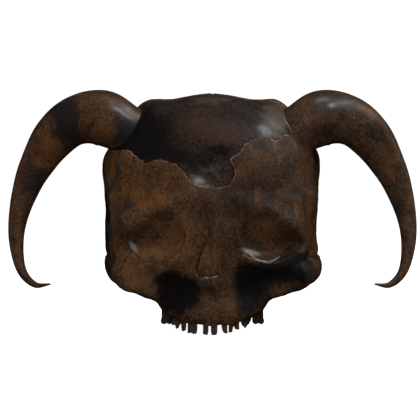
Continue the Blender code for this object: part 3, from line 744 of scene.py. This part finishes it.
def mark(bone, patches):
    """Stores what the materials read: distances to lines and to black painted shade, painted glints,
    patches and wear.
    """
    x, y, z = points_of(bone).T
    # The broken edge, as a distance that is negative on the crust, ends where the front does.
    edge = np.where(is_inside(dome_outline(), x, z), 1, -1) * distance_to(EDGE, x, z, 20)
    store(bone, "edge", np.where(y < -26, edge, 20 if patches is DOME_PATCHES else -20))
    store(bone, "seam", seam_distance(x, y, z, 6.0))
    # The crease layer: the upper part of the left plate's joint line, and lines of painted shade along the
    # creases.
    plate = lines_distance([PLATE_EDGE], x, y, z)
    creases = lines_distance([curve_through(line) for line in CREASES], x, y, z)
    store(bone, "crease", np.minimum(np.where(z > 64, plate, LINE_REACH), creases))
    # Painted highlights: along the lips, and at the glints.
    store(bone, "lip", lines_distance([curve_through(line) for line in LIPS], x, y, z))
    store(bone, "glint", painted(patches.get("glint", ()), x, z) * (y < FRONT))
    # Black painted shade inside its outlines below the sockets, fading towards the back.
    painted_shade = np.maximum(*(depth_in(outline, x, z, 15) for outline in PAINTED_SHADE_OUTLINES))
    store(bone, "painted_shade", painted_shade - 30 * rise(y, -58, -36))
    # Where the painted highlight along the broken edge shows, fading at one place.
    store(bone, "rim", 1 - 0.85 * dab(x, z, RIM_GAP, (11.0, 15.0)))
    paint(bone, patches, rise(-normals_of(bone)[:, 1], -0.05, 0.3))
    # Along the joints between bones, the cut faces don't count as wear.
    jaw, back = distance_to(JAW_LINE, x, z, LINE_REACH), distance_to(FACE_BACK, y, z, LINE_REACH)
    wear(bone, 9, rise(np.minimum.reduce([jaw, back, plate]), 1.0, 3.5))


# Materials.

# Colours of small marks and of the ends of ramps, beside those in the settings.
# Of these, the pale colours of the glints, rims and lips are painted highlights, and the dark of the
# creases is painted shade.
PALE_BONE, GLINT, PAINTED_HIGHLIGHT = (0.25, 0.150, 0.088), (0.46, 0.40, 0.35), (0.40, 0.36, 0.32)
HOLLOW, SEAM_LINE, CREASE_LINE = (0.014, 0.0105, 0.008), (0.012, 0.009, 0.007), (0.013, 0.010, 0.0085)
DOME_BROWN, DOME_LIGHT, DOME_VEIN = (0.046, 0.031, 0.0235), (0.080, 0.055, 0.040), (0.085, 0.042, 0.024)
DOME_BLACK, DOME_RIM, HORN_PALE = (0.0070, 0.0065, 0.0065), (0.008, 0.006, 0.005), (0.15, 0.14, 0.135)
TOOTH_NECK, TOOTH_TIP = (0.020, 0.015, 0.012), (0.20, 0.145, 0.105)


class Value:
    """A number that varies over a surface. Python's operators on it add Math nodes."""

    def __init__(self, shader, socket):
        self.shader, self.socket = shader, socket

    def math(self, operation, *others):
        inputs = dict(enumerate((self, *others)))
        return self.shader.value("ShaderNodeMath", {"operation": operation}, inputs)

    def __add__(self, other):
        return self.math("ADD", other)

    __radd__ = __add__

    def __sub__(self, other):
        return self.math("SUBTRACT", other)

    def __rsub__(self, other):
        return self.math("MULTIPLY_ADD", -1.0, other)

    def __mul__(self, other):
        return self.math("MULTIPLY", other)

    __rmul__ = __mul__

    def __abs__(self):
        return self.math("ABSOLUTE")

    def between(self, low, high):
        """0 at low, 1 at high and a soft slope between."""
        inputs = {"Value": self, "From Min": low, "From Max": high}
        return self.shader.value("ShaderNodeMapRange", {"interpolation_type": "SMOOTHSTEP"}, inputs)


class Shader:
    """Builds the nodes of one material around its Principled shader."""

    def __init__(self, name):
        self.material = bpy.data.materials.new(name)
        self.material.use_nodes = True
        self.tree = self.material.node_tree
        self.surface = self.tree.nodes["Principled BSDF"]
        place = self.node("ShaderNodeTexCoord").outputs["Object"]
        scaled = self.node("ShaderNodeVectorMath", {"operation": "SCALE"}, {0: place, "Scale": 1000.0})
        self.place = scaled.outputs[0]

    def node(self, kind, settings=None, inputs=None):
        """Adds a node, with its settings first and then the values or links of its sockets."""
        made = self.tree.nodes.new(kind)
        for key, value in (settings or {}).items():
            setattr(made, key, value)
        for key, value in (inputs or {}).items():
            self.feed(made.inputs[key], value)
        return made

    def feed(self, socket, value):
        if isinstance(value, Value):
            value = value.socket
        if isinstance(value, bpy.types.NodeSocket):
            self.tree.links.new(value, socket)
        else:
            socket.default_value = value

    def value(self, kind, settings=None, inputs=None, output=0):
        """Adds a node and returns one of its outputs as a Value."""
        return Value(self, self.node(kind, settings, inputs).outputs[output])

    def attributes(self, *names):
        return [self.value("ShaderNodeAttribute", {"attribute_name": name}, None, "Fac") for name in names]

    def noise(self, size, detail, roughness, distortion=0.0, shift=0.0, stretch=(1, 1, 1.2), place=None):
        """Noise around 0 with features of about size millimetres, stretched along each axis."""
        factors = tuple(1 / (size * share) for share in stretch)
        at = self.node("ShaderNodeVectorMath", {"operation": "MULTIPLY_ADD"}, {
            0: place or self.place, 1: factors, 2: (shift,) * 3,
        })
        inputs = {
            "Vector": at.outputs[0], "Scale": 1.0, "Detail": detail, "Roughness": roughness,
            "Distortion": distortion,
        }
        return self.value("ShaderNodeTexNoise", None, inputs, "Fac") - 0.5

    def ramp(self, level, *stops):
        """A colour for each level, between three stops of position and colour."""
        made = self.node("ShaderNodeValToRGB", None, {0: level})
        made.color_ramp.elements.new(1.0)
        for element, (position, color) in zip(made.color_ramp.elements, stops):
            element.position = position
            element.color = (*color[:], 1.0)
        return made.outputs["Color"]

    def layered(self, base, *layers):
        """The colour base with others laid over it, each given as (share, colour)."""
        for share, color in layers:
            inputs = {0: share, 6: base, 7: (*color[:], 1.0)}
            base = self.node("ShaderNodeMix", {"data_type": "RGBA"}, inputs).outputs[2]
        return base

    def finish(self, color, roughness, height, depth, specular, coat=0.0, coat_roughness=0.03):
        """Fills the Principled shader, where depth is the depth of the bump in millimetres."""
        inputs = {"Strength": 1.0, "Distance": depth * MM, "Height": height}
        bumped = self.node("ShaderNodeBump", None, inputs)
        for name, value in (
            ("Base Color", color), ("Roughness", roughness), ("Normal", bumped.outputs["Normal"]),
            ("Specular IOR Level", specular), ("Coat Weight", coat), ("Coat Roughness", coat_roughness),
        ):
            self.feed(self.surface.inputs[name], value)
        return self.material


def crust_material(name, tone, warmth, colors):
    """Old crusted bone: fine orange-brown and dark mottling, worn edges, black painted shade and painted
    highlights.
    """
    shader = Shader(name)
    patch = shader.noise(17.0, 5.0, 0.6, 0.6)
    mottle = shader.noise(4.6, 7.0, 0.75, 1.4, 3.0)
    grit = shader.noise(2.0, 4.0, 0.75, 1.0, 8.0)
    thread = abs(shader.noise(8.0, 7.0, 0.72, 2.2, 13.0))
    hair = abs(shader.noise(5.5, 7.0, 0.75, 2.6, 43.0))
    fleck = shader.noise(2.4, 6.0, 0.8, 1.8, 23.0)
    dust = shader.noise(0.9, 2.0, 0.7, 0.5, 63.0)
    worn, seam, crease, edge = shader.attributes("worn", "seam", "crease", "edge")
    painted_shade, lip, glint, rim_share = shader.attributes("painted_shade", "lip", "glint", "rim")
    dark, warm, pale, polish = shader.attributes(*LAYERS)
    fine = 1.7 * grit + 1.5 * dust
    level = 0.5 + tone + 0.6 * patch + 1.3 * mottle + fine + 0.5 * worn + 0.08 * warm + 0.24 * pale
    orange = (fleck + 0.5 * dust + 0.18 * warm + 0.4 * patch).between(0.03, 0.15)
    hairs = (1 - hair.between(0.0, 0.05)) * (patch + 0.4 * mottle + 0.1 * warm).between(-0.2, 0.06)
    threads = (1 - thread.between(0.0, 0.05)) * (0.4 * mottle - patch + 0.1 * warm).between(-0.16, 0.08)
    specks = (0 - grit - 0.5 * fleck).between(0.09, 0.19)
    grey = (1.25 * dark + 2.0 * mottle + 0.8 * patch + 1.2 * grit).between(0.45, 1.0)
    # Painted highlights: the glints on the lower rims of the sockets.
    bright = (glint + 0.25 * mottle).between(0.1, 1.1)
    # Black painted shade below the sockets, with a ragged edge.
    black = (painted_shade + 12.0 * patch + 19.0 * mottle + 10.0 * grit).between(-2.6, 2.6)
    # Painted shade along the creases, and the dark joint line of the left plate.
    thin = (1 - crease.between(0.15, 0.75)) * (mottle + patch).between(-0.28, 0.02)
    # A painted highlight: a thin pale line on the crust's side of the broken edge.
    rim = edge.between(-0.6, -0.3) * (1 - edge.between(0.0, 0.25)) * (mottle + patch).between(-0.08, 0.18)
    # Painted highlights along the lips below the right socket and at the foot of the nose.
    shine = (1 - lip.between(0.15, 0.6)) * (mottle + grit).between(-0.2, 0.1)
    base = shader.ramp(
        level, (0.12, colors.crust_shadow), (0.54, colors.crust_brown), (0.97, colors.crust_light),
    )
    base = shader.layered(
        base, (orange * warmth, colors.crust_orange), (hairs * (0.9 * warmth + 0.25), colors.crust_orange),
        (threads * 0.75, colors.crust_shadow), (specks * 0.6, colors.crust_shadow),
        # The pale patches, some of them painted highlights, and the painted highlights of the glints.
        (grey * 0.85, colors.crust_grey), (pale.between(0.2, 1.1) * 0.2, PALE_BONE), (bright * 0.75, GLINT),
        # Black painted shade below the sockets, and where the dark layer is strongest, on the left temple.
        (black * 0.97, colors.painted_shade), (dark.between(1.1, 2.2) * 0.85, colors.painted_shade),
        ((0 - worn).between(0.03, 0.28) * 0.35, HOLLOW), ((1 - seam.between(0.2, 0.8)) * 0.8, SEAM_LINE),
        # Painted shade along the creases and the plate's dark joint line, then painted highlights on the
        # broken edge and the lips.
        (thin * 0.7, CREASE_LINE), ((rim * rim_share + shine) * 0.8, PAINTED_HIGHLIGHT),
    )
    rough = 0.52 + 0.25 * mottle + 0.15 * grit + 0.12 * black
    height = 0.5 * mottle + 0.35 * grit - 0.2 * threads
    return shader.finish(base, rough, height, 0.3, 0.27, polish.between(0.1, 1.3) * 0.8, 0.24)


def dome_material(name, colors):
    """Bare, polished bone: near black on one side, reddish in the middle and grey-brown beyond, with a
    painted shadow and highlight at the dent and painted sheen on top.
    """
    shader = Shader(name)
    patch = shader.noise(20.0, 4.0, 0.55, 0.5, 2.0, (1, 1, 1))
    mottle = shader.noise(5.0, 7.0, 0.72, 1.2, 5.0)
    grit = shader.noise(1.3, 3.0, 0.6, 0.0, 18.0, (1, 1, 1))
    vein = abs(shader.noise(8.0, 6.0, 0.72, 2.0, 37.0))
    edge, worn = shader.attributes("edge", "worn")
    dark, warm, pale, polish = shader.attributes(*LAYERS)
    level = 0.38 + 0.5 * patch + 1.2 * mottle + 2.6 * grit + 0.4 * worn
    lines = (1 - vein.between(0.0, 0.035)) * (patch + 0.4 * mottle).between(-0.15, 0.12)
    near = (1 - edge.between(0.0, 2.2)) * (1 - pale.between(0.0, 0.4))
    base = shader.layered(
        shader.ramp(level, (0.12, colors.dome_shadow), (0.60, DOME_BROWN), (0.9, DOME_LIGHT)),
        ((warm + 1.5 * mottle + 1.5 * grit).between(0.0, 1.0) * 0.75, colors.dome_red),
        # Pale, with the painted highlight in the dent and painted sheen along the top.
        ((pale + 1.2 * mottle).between(0.1, 1.0) * 0.85, colors.dome_pale), (lines * 0.4, DOME_VEIN),
        # Near black, with the painted shadow above the dent.
        ((dark + 1.6 * mottle + 1.0 * patch).between(0.15, 1.3) * 0.93, DOME_BLACK), (near * 0.6, DOME_RIM),
    )
    rough = 0.55 + 0.3 * mottle + 0.2 * patch
    coat = (polish + mottle).between(0.0, 1.4) * 0.9
    return shader.finish(base, rough, 0.5 * mottle + 0.4 * grit, 0.14, 0.16, coat, 0.27)


def horn_material(name, tone, warmth, colors):
    """Horn: mottled brown with grey-black patches and fine fibres that follow it."""
    shader = Shader(name)
    grain = dict(enumerate(shader.attributes(*GRAIN)))
    grain = shader.node("ShaderNodeCombineXYZ", None, grain).outputs[0]
    patch = shader.noise(18.0, 5.0, 0.6, 0.6, 6.0)
    mottle = shader.noise(4.8, 7.0, 0.75, 1.4, 26.0)
    fibre = shader.noise(2.0, 6.0, 0.66, 0.3, 1.0, (9.0, 1, 1), grain)
    grit = shader.noise(2.0, 4.0, 0.75, 1.0, 4.0, (1, 1, 1))
    hair = abs(shader.noise(5.5, 7.0, 0.75, 2.6, 53.0))
    fleck = shader.noise(2.5, 6.0, 0.8, 1.8, 33.0)
    dust = shader.noise(0.9, 2.0, 0.7, 0.5, 73.0)
    worn, dark, warm, pale, polish = shader.attributes("worn", *LAYERS)
    fine = 0.4 * fibre + 1.6 * grit + 1.5 * dust
    level = 0.48 + tone + 0.7 * patch + 1.3 * mottle + fine + 0.8 * worn + 0.10 * warm + 0.2 * pale
    orange = (fleck + 0.5 * dust + 0.20 * warm + 0.4 * patch).between(0.04, 0.17)
    hairs = (1 - hair.between(0.0, 0.055)) * (patch + 0.4 * mottle + 0.15 * warm).between(-0.18, 0.08)
    grey = (1.15 * dark + 2.7 * mottle + 1.2 * patch + 1.2 * grit).between(0.42, 0.98)
    base = shader.layered(
        shader.ramp(
            level, (0.12, colors.horn_shadow), (0.56, colors.horn_brown), (0.97, colors.horn_light),
        ),
        (orange * warmth, colors.crust_orange), (hairs * warmth, colors.crust_orange),
        (grey * 0.9, colors.horn_grey), (pale.between(0.2, 1.0) * 0.5, HORN_PALE),
    )
    rough = 0.46 + 0.25 * mottle + 0.15 * fibre
    height = 0.4 * fibre + 0.35 * mottle + 0.3 * grit
    return shader.finish(base, rough, height, 0.2, 0.34, (polish + 0.7 * mottle).between(0.0, 1.5), 0.3)


def tooth_material(name, colors):
    """Worn teeth, brown at the neck and paler along the worn tips."""
    shader = Shader(name)
    patch = shader.noise(7.0, 4.0, 0.6, 0.0, 9.0, (1, 1, 1))
    fibre = shader.noise(1.5, 5.0, 0.65, 0.2, 5.0, (0.8, 1, 3.5))
    above = shader.value("ShaderNodeSeparateXYZ", None, {0: shader.place}, "Z")
    worn, = shader.attributes("worn")
    level = 0.5 + 0.8 * patch + 1.1 * fibre + 1.2 * worn - 0.02 * above
    base = shader.ramp(level, (0.1, TOOTH_NECK), (0.58, colors.tooth), (0.92, TOOTH_TIP))
    return shader.finish(base, 0.45 + 0.3 * fibre, 0.7 * fibre + 0.3 * patch, 0.25, 0.35)


def glowing_material(name):
    """Plain white that needs no lamp."""
    shader = Shader(name)
    shader.surface.inputs["Base Color"].default_value = (0.8, 0.8, 0.8, 1.0)
    shader.surface.inputs["Roughness"].default_value = 0.9
    shader.surface.inputs["Emission Color"].default_value = (1, 1, 1, 1)
    shader.surface.inputs["Emission Strength"].default_value = 1.0
    return shader.material


# Finished pieces.

def dress(piece, look, slot, *nodes):
    """Gives a finished piece its material, smooth shading and body, and hides the CAD nodes that it stands
    for. The slot is not used.
    """
    piece.data.materials.clear()
    piece.data.materials.append(look)
    only(piece)
    bpy.ops.object.shade_smooth_by_angle(angle=math.radians(50))
    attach(piece, "root")
    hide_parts(*nodes)


def horn_distances(points, path, sign):
    """How far along a horn each point lies, its angle from the outer side, and the radius there."""
    steps = np.linalg.norm(np.diff(path[:, :3], axis=0), axis=1)
    lengths = np.concatenate([[0], np.cumsum(steps)])
    nearest = np.array([np.argmin(((path[:, :3] - point) ** 2).sum(1)) for point in points])
    ahead = np.gradient(path[:, :3], axis=0)[nearest]
    ahead /= np.linalg.norm(ahead, axis=1)[:, None]
    offset = points - path[nearest, :3]
    along = lengths[nearest] + (offset * ahead).sum(1)
    first = sign * np.cross(ahead, (0, 1, 0))
    second = sign * np.cross(ahead, first)
    angle = np.arctan2((offset * second).sum(1), (offset * first).sum(1))
    return along, angle, path[nearest, 3]


def horn_form(side, sizes):
    """One horn as a tube along its centre line, with growth rings and fibres."""
    path = curve_through(HORN_POINTS, HORN_STEPS)
    path[:, 0] *= SIDES[side]
    bpy.ops.curve.primitive_nurbs_path_add()
    line = bpy.context.object
    line.data.splines.clear()
    spline = line.data.splines.new("POLY")
    spline.points.add(len(path) - 1)
    for point, (x, y, z, radius) in zip(spline.points, path):
        point.co = (x * MM, y * MM, z * MM, 1.0)
        point.radius = radius
    line.data.bevel_depth = 1.0 * MM
    line.data.bevel_resolution = HORN_ROUNDNESS
    line.data.use_fill_caps = True
    only(line)
    bpy.ops.object.convert(target="MESH")
    horn = bpy.context.object
    horn.location = (0, 0, 0)
    horn.name = f"carved_horn_{side}"
    points, normals = points_of(horn), normals_of(horn)
    along, angle, radius = horn_distances(points, path, SIDES[side])
    grain = np.column_stack([along, np.cos(angle) * radius, np.sin(angle) * radius])
    rings = rough_noise(grain, 5.5, (1, 5, 5), 3.0) + 0.6 * rough_noise(grain, 2.6, (1, 5, 5), 7.0)
    fibres = rough_noise(grain, 2.4, (9, 1, 1), 12.0)
    size = np.clip(radius / 17, 0.05, 1)
    keel = bump((angle - RIDGE_ANGLE) / 0.4) - 0.9 * bump((angle - CREASE_ANGLE) / 0.3)
    strands = sizes.horn_fibres / MM * (fibres + 0.6 * rings)
    push = (strands + sizes.horn_ridge / MM * keel * rise(along, 45, 80)) * size
    set_points(horn, boxed(points + normals * push[:, None]))
    for name, values in zip(GRAIN, grain.T):
        store(horn, name, values)
    store(horn, "worn", push * 0.3)
    return horn


def jaw_arch(x):
    """Depth of the tooth row at each distance x from the middle."""
    share = np.clip(1 - (x / JAW_ARCH["half_width"]) ** 2, 0, 1)
    return JAW_ARCH["back"] - JAW_ARCH["depth"] * np.sqrt(share)


def tooth_block(left, right, tip):
    """One front tooth: its outline, extruded front to back."""
    left_side = (left, TOOTH_ROOT), (left, tip[0][1] + 3)
    right_side = (right, tip[-1][1] + 3), (right, TOOTH_ROOT)
    outline = [(x, -TOOTH_DEPTH / 2, z) for x, z in (*left_side, *tip, *right_side)]
    return extruded("tooth", outline, (0, TOOTH_DEPTH, 0))


def front_teeth(sizes):
    """All front teeth as one piece that follows the jaw."""
    teeth = joined([tooth_block(*tooth) for tooth in FRONT_TEETH], "front_teeth")
    reskin(teeth, sizes.tooth_detail, 2)
    points, normals = points_of(teeth), normals_of(teeth)
    fibres = rough_noise(points, 1.6, (1, 1, 6), 2.0)
    points += normals * (0.16 * fibres)[:, None]
    x, y, z = points.T
    thickness = 1 + 0.35 * np.abs(x) / 34
    waist = 1 - 0.25 * rise(-z, -4, -1)
    points[:, 1] = jaw_arch(x * 0.98) + 1.2 + y * thickness * waist
    points[:, 2] = np.maximum(z, 0.0)
    set_points(teeth, points)
    return teeth


def molars():
    """The molars behind them: blocks with four worn cusps each."""
    blocks = []
    for side in SIDES.values():
        for x, y, width, tip in MOLARS:
            bpy.ops.mesh.primitive_cube_add(
                size=1, location=(side * x * MM, y * MM, (tip + 8.5) * MM),
                scale=(width * 0.82 * MM, width * 0.88 * MM, 14 * MM),
            )
            blocks.append(bpy.context.object)
            for dx in (-1, 1):
                for dy in (-1, 1):
                    bpy.ops.mesh.primitive_uv_sphere_add(
                        segments=20, ring_count=12, radius=width * 0.27 * MM,
                        location=((side * x + dx * 1.9) * MM, (y + dy * 2.1) * MM, (tip + 2.2) * MM),
                    )
                    blocks.append(bpy.context.object)
    for block in blocks:
        only(block)
        bpy.ops.object.transform_apply(location=True, rotation=True, scale=True)
    made = joined(blocks, "molars")
    reskin(made, 0.5 * MM, 5)
    return made


def cheek_arch(side):
    """One bar of the cheekbones, thinner on its inner side and drawn in at both ends."""
    bar = node_copy(f"arch_{side}", f"cheek_arch_{side}")
    finish_with(bar, "DISPLACE", strength=0.45 * MM, mid_level=0.0)
    reskin(bar, 0.8 * MM, 9)
    points, normals = points_of(bar), normals_of(bar)
    push = 0.4 + 0.2 * rough_noise(points, 3.4, (1, 1.6, 1), 9.0)
    push += 4.0 * rise(-SIDES[side] * normals[:, 0], 0.2, 0.7) * rise(-points[:, 1], 28, 42)
    points += normals * push[:, None]
    points[:, 1] -= 3.5 * rise(-points[:, 1], 44, 56)
    points[:, 0] -= SIDES[side] * (2.0 * rise(-points[:, 1], 46, 58) + 2.0 * rise(points[:, 1], 6, 16))
    set_points(bar, boxed(fitted(points)))
    return bar


# The stage.

FLOOR_RADIUS, BACKDROP_RADIUS, ROOM_GREY = 7.0, 7.5, 0.09


def stage_part(part, name, look):
    """Names part, gives it a glowing material and hides it from every ray but the camera's."""
    part.name = name
    part.data.materials.append(glowing_material(look))
    part.visible_diffuse = part.visible_glossy = part.visible_shadow = False


# The lamps: name, place, what they aim at, size, power and whether the polish reflects them.
LAMPS = (
    ("sheen_light", (0.95, -0.05, 1.05), (0, -0.03, 0.1), (0.7, 0.5), 5.5, True),
    ("key_light", (0.5, -0.65, 1.0), (0, -0.05, 0.08), (0.24, 0.24), 1.9, True),
    ("top_light", (0.05, -0.2, 1.25), (0, -0.03, 0.1), (0.5, 0.35), 1.4, True),
    ("front_light", (-0.25, -2.1, 0.45), (0, -0.03, 0.08), (1.8, 1.2), 17.5, False),
    ("left_light", (-1.6, 0.1, 0.8), (0, 0, 0.08), (1.0, 1.0), 5, False),
    ("right_light", (1.6, 0.4, 0.6), (0, 0, 0.08), (1.0, 1.0), 4, False),
    ("back_light", (0.2, 1.6, 1.1), (0, 0, 0.1), (1.6, 1.0), 8, False),
)
# The camera: what it aims at, how far away it stands, how wide it sees there, and its tilt in degrees.
CAMERA_AIM, CAMERA_AWAY, CAMERA_WIDTH, CAMERA_TILT = (-0.0017, -0.03, 0.083), 1.6, 0.2917, 1.5
SENSOR = 36


def stage_light(name, place, aim, size, power, reflected):
    """A soft rectangular lamp."""
    bpy.ops.object.light_add(type="AREA", location=place)
    lamp = bpy.context.object
    lamp.name = name
    lamp.data.shape = "RECTANGLE"
    lamp.data.size, lamp.data.size_y = size
    lamp.data.energy = power
    lamp.rotation_euler = (Vector(aim) - Vector(place)).to_track_quat("-Z", "Y").to_euler()
    lamp.visible_glossy = reflected


# Settings: the sizes and colours that a user would change.

def length(name, description, millimetres):
    return bpy.props.FloatProperty(
        name=name, description=description, default=millimetres * MM, min=0.0, max=20 * MM, precision=5,
        subtype="DISTANCE", unit="LENGTH",
    )


def color(name, description, value):
    return bpy.props.FloatVectorProperty(
        name=name, description=description, default=value, size=3, min=0.0, max=1.0, subtype="COLOR",
    )


class HORNEDSKULL_PG_sizes(bpy.types.PropertyGroup):
    """Sizes of the details worked into the bones and horns"""

    skin: length("Skin detail", "Finest step in the skin of the head", 0.85)
    socket_fill: length("Socket fill", "How much shallower the eye sockets are than in the solids", 3.0)
    crust_step: length("Crust step", "Height of the crust above the bare dome at its broken edge", 0.5)
    seam_depth: length("Seam depth", "Depth of the seams between the bones of the braincase", 0.55)
    swell: length("Swell", "Height of the soft unevenness of the bone", 0.3)
    horn_fibres: length("Horn fibres", "Height of the fibres along the horns", 0.16)
    horn_ridge: length("Horn ridge", "Height of the ridge along the outer side of the horns", 0.5)
    tooth_detail: length("Tooth detail", "Finest step in the front teeth", 0.4)


class HORNEDSKULL_PG_colors(bpy.types.PropertyGroup):
    """Colours of the bone, the teeth and the horns"""

    crust_shadow: color("Crust, dark", "Darkest brown of the crust", (0.0175, 0.0135, 0.0105))
    crust_brown: color("Crust, middle", "Middle brown of the crust", (0.088, 0.0475, 0.0215))
    crust_light: color("Crust, light", "Lightest brown of the crust", (0.235, 0.122, 0.050))
    crust_orange: color("Orange veins", "Orange of the veins and flecks", (0.190, 0.071, 0.019))
    crust_grey: color("Grey patches", "Grey of the soft patches on the crust", (0.029, 0.026, 0.0235))
    # Black of the painted shade below the sockets and on the left temple.
    painted_shade: color("Stains", "Black of the stains below the sockets", (0.0055, 0.0050, 0.0050))
    dome_shadow: color("Dome, dark", "Darkest brown of the bare dome", (0.013, 0.0108, 0.010))
    dome_red: color("Dome, middle", "Reddish brown in the middle of the dome", (0.055, 0.0255, 0.0185))
    dome_pale: color("Dome, pale", "Pale brown of the dome's right shoulder", (0.115, 0.088, 0.068))
    horn_shadow: color("Horn, dark", "Darkest brown of the horns", (0.015, 0.0125, 0.011))
    horn_brown: color("Horn, middle", "Middle brown of the horns", (0.080, 0.046, 0.0255))
    horn_light: color("Horn, light", "Lightest brown of the horns", (0.205, 0.118, 0.058))
    horn_grey: color("Horn, grey", "Grey-black of the patches on the horns", (0.0165, 0.0165, 0.0172))
    tooth: color("Teeth", "Middle brown of the teeth", (0.085, 0.056, 0.037))


# The operators, one for each group of like pieces and one for the stage.

class HORNEDSKULL_OT_head(bpy.types.Operator):
    """Model the braincase, the dome, the face plates and the upper jaw"""

    bl_idname = "horned_skull.head"
    bl_label = "Bones of the head"

    def execute(self, context):
        sizes, colors = context.scene.horned_skull_sizes, context.scene.horned_skull_colors
        head = fused_head(sizes)
        carve(head, sizes)
        for node, bone in parted(head).items():
            raise_edges(node, bone, sizes)
            mark(bone, DOME_PATCHES if node == "bare_dome" else PATCHES)
            bone.name = HEAD_PIECES[node]
            if node == "bare_dome":
                dress(bone, dome_material("bare_bone_dome", colors), "bare_bone", node)
            else:
                look = crust_material(f"crust_{node}", *TONES[node], colors)
                dress(bone, look, "crust_bone", node)
        return {"FINISHED"}


class HORNEDSKULL_OT_teeth(bpy.types.Operator):
    """Model the front teeth and the molars"""

    bl_idname = "horned_skull.teeth"
    bl_label = "Teeth"

    def execute(self, context):
        look = tooth_material("worn_teeth", context.scene.horned_skull_colors)
        for piece in (front_teeth(context.scene.horned_skull_sizes), molars()):
            wear(piece, 5)
            dress(piece, look, "crust_bone", "upper_jaw")
        return {"FINISHED"}


class HORNEDSKULL_OT_arches(bpy.types.Operator):
    """Model the bars of the cheekbones"""

    bl_idname = "horned_skull.arches"
    bl_label = "Cheek arches"

    def execute(self, context):
        colors = context.scene.horned_skull_colors
        for side in SIDES:
            bar = cheek_arch(side)
            mark(bar, PATCHES)
            look = crust_material(f"crust_arch_{side}", *TONES[f"arch_{side}"], colors)
            dress(bar, look, "crust_bone", f"arch_{side}")
        return {"FINISHED"}


class HORNEDSKULL_OT_horns(bpy.types.Operator):
    """Model the two horns"""

    bl_idname = "horned_skull.horns"
    bl_label = "Horns"

    def execute(self, context):
        colors = context.scene.horned_skull_colors
        for side in SIDES:
            horn = horn_form(side, context.scene.horned_skull_sizes)
            paint(horn, PATCHES)
            look = horn_material(f"horn_{side}_look", *TONES[f"horn_{side}"], colors)
            dress(horn, look, "horn", f"horn_{side}")
        return {"FINISHED"}


class HORNEDSKULL_OT_stage(bpy.types.Operator):
    """Set the floor, the backdrop, the lamps and the camera"""

    bl_idname = "horned_skull.stage"
    bl_label = "Stage"

    def execute(self, context):
        bpy.ops.mesh.primitive_circle_add(vertices=96, radius=FLOOR_RADIUS, fill_type="NGON")
        stage_part(context.object, "floor", "pale_floor")
        bpy.ops.mesh.primitive_uv_sphere_add(segments=64, ring_count=32, radius=BACKDROP_RADIUS)
        edit(context.object, bpy.ops.mesh.flip_normals)
        stage_part(context.object, "backdrop", "white_backdrop")
        for lamp in LAMPS:
            stage_light(*lamp)
        world = bpy.data.worlds.new("soft_room")
        context.scene.world = world
        world.use_nodes = True
        world.node_tree.nodes["Background"].inputs["Color"].default_value = (*[ROOM_GREY] * 3, 1)
        world.cycles_visibility.glossy = False
        bpy.ops.object.camera_add()
        camera = context.object
        raised = math.radians(CAMERA_TILT)
        back = Vector((0, -math.cos(raised), math.sin(raised)))
        camera.location = Vector(CAMERA_AIM) + back * CAMERA_AWAY
        camera.rotation_euler = (-back).to_track_quat("-Z", "Y").to_euler()
        camera.data.sensor_width = SENSOR
        camera.data.lens = SENSOR * CAMERA_AWAY / CAMERA_WIDTH
        context.scene.camera = camera
        context.scene.view_settings.view_transform = "Standard"
        return {"FINISHED"}


class HORNEDSKULL_PT_panel(bpy.types.Panel):
    """Lists the steps that make the skull"""

    bl_idname = "HORNEDSKULL_PT_panel"
    bl_label = "Horned skull"
    bl_space_type = "VIEW_3D"
    bl_region_type = "UI"
    bl_category = "Horned skull"

    def draw(self, context):
        for operator in OPERATORS:
            self.layout.operator(operator.bl_idname)
        for name, group in SETTINGS.items():
            for setting in group.__annotations__:
                self.layout.prop(getattr(context.scene, name), setting)


SETTINGS = {"horned_skull_sizes": HORNEDSKULL_PG_sizes, "horned_skull_colors": HORNEDSKULL_PG_colors}
OPERATORS = (
    HORNEDSKULL_OT_head, HORNEDSKULL_OT_teeth, HORNEDSKULL_OT_arches, HORNEDSKULL_OT_horns,
    HORNEDSKULL_OT_stage,
)
CLASSES = (*SETTINGS.values(), *OPERATORS, HORNEDSKULL_PT_panel)


def register():
    for item in CLASSES:
        bpy.utils.register_class(item)
    for name, group in SETTINGS.items():
        setattr(bpy.types.Scene, name, bpy.props.PointerProperty(type=group))


def unregister():
    for name in SETTINGS:
        delattr(bpy.types.Scene, name)
    for item in reversed(CLASSES):
        bpy.utils.unregister_class(item)


def main():
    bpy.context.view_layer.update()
    bpy.ops.object.select_all(action="DESELECT")
    register()
    bpy.ops.horned_skull.head()
    bpy.ops.horned_skull.teeth()
    bpy.ops.horned_skull.arches()
    bpy.ops.horned_skull.horns()
    bpy.ops.horned_skull.stage()


if __name__ == "__main__":
    main()
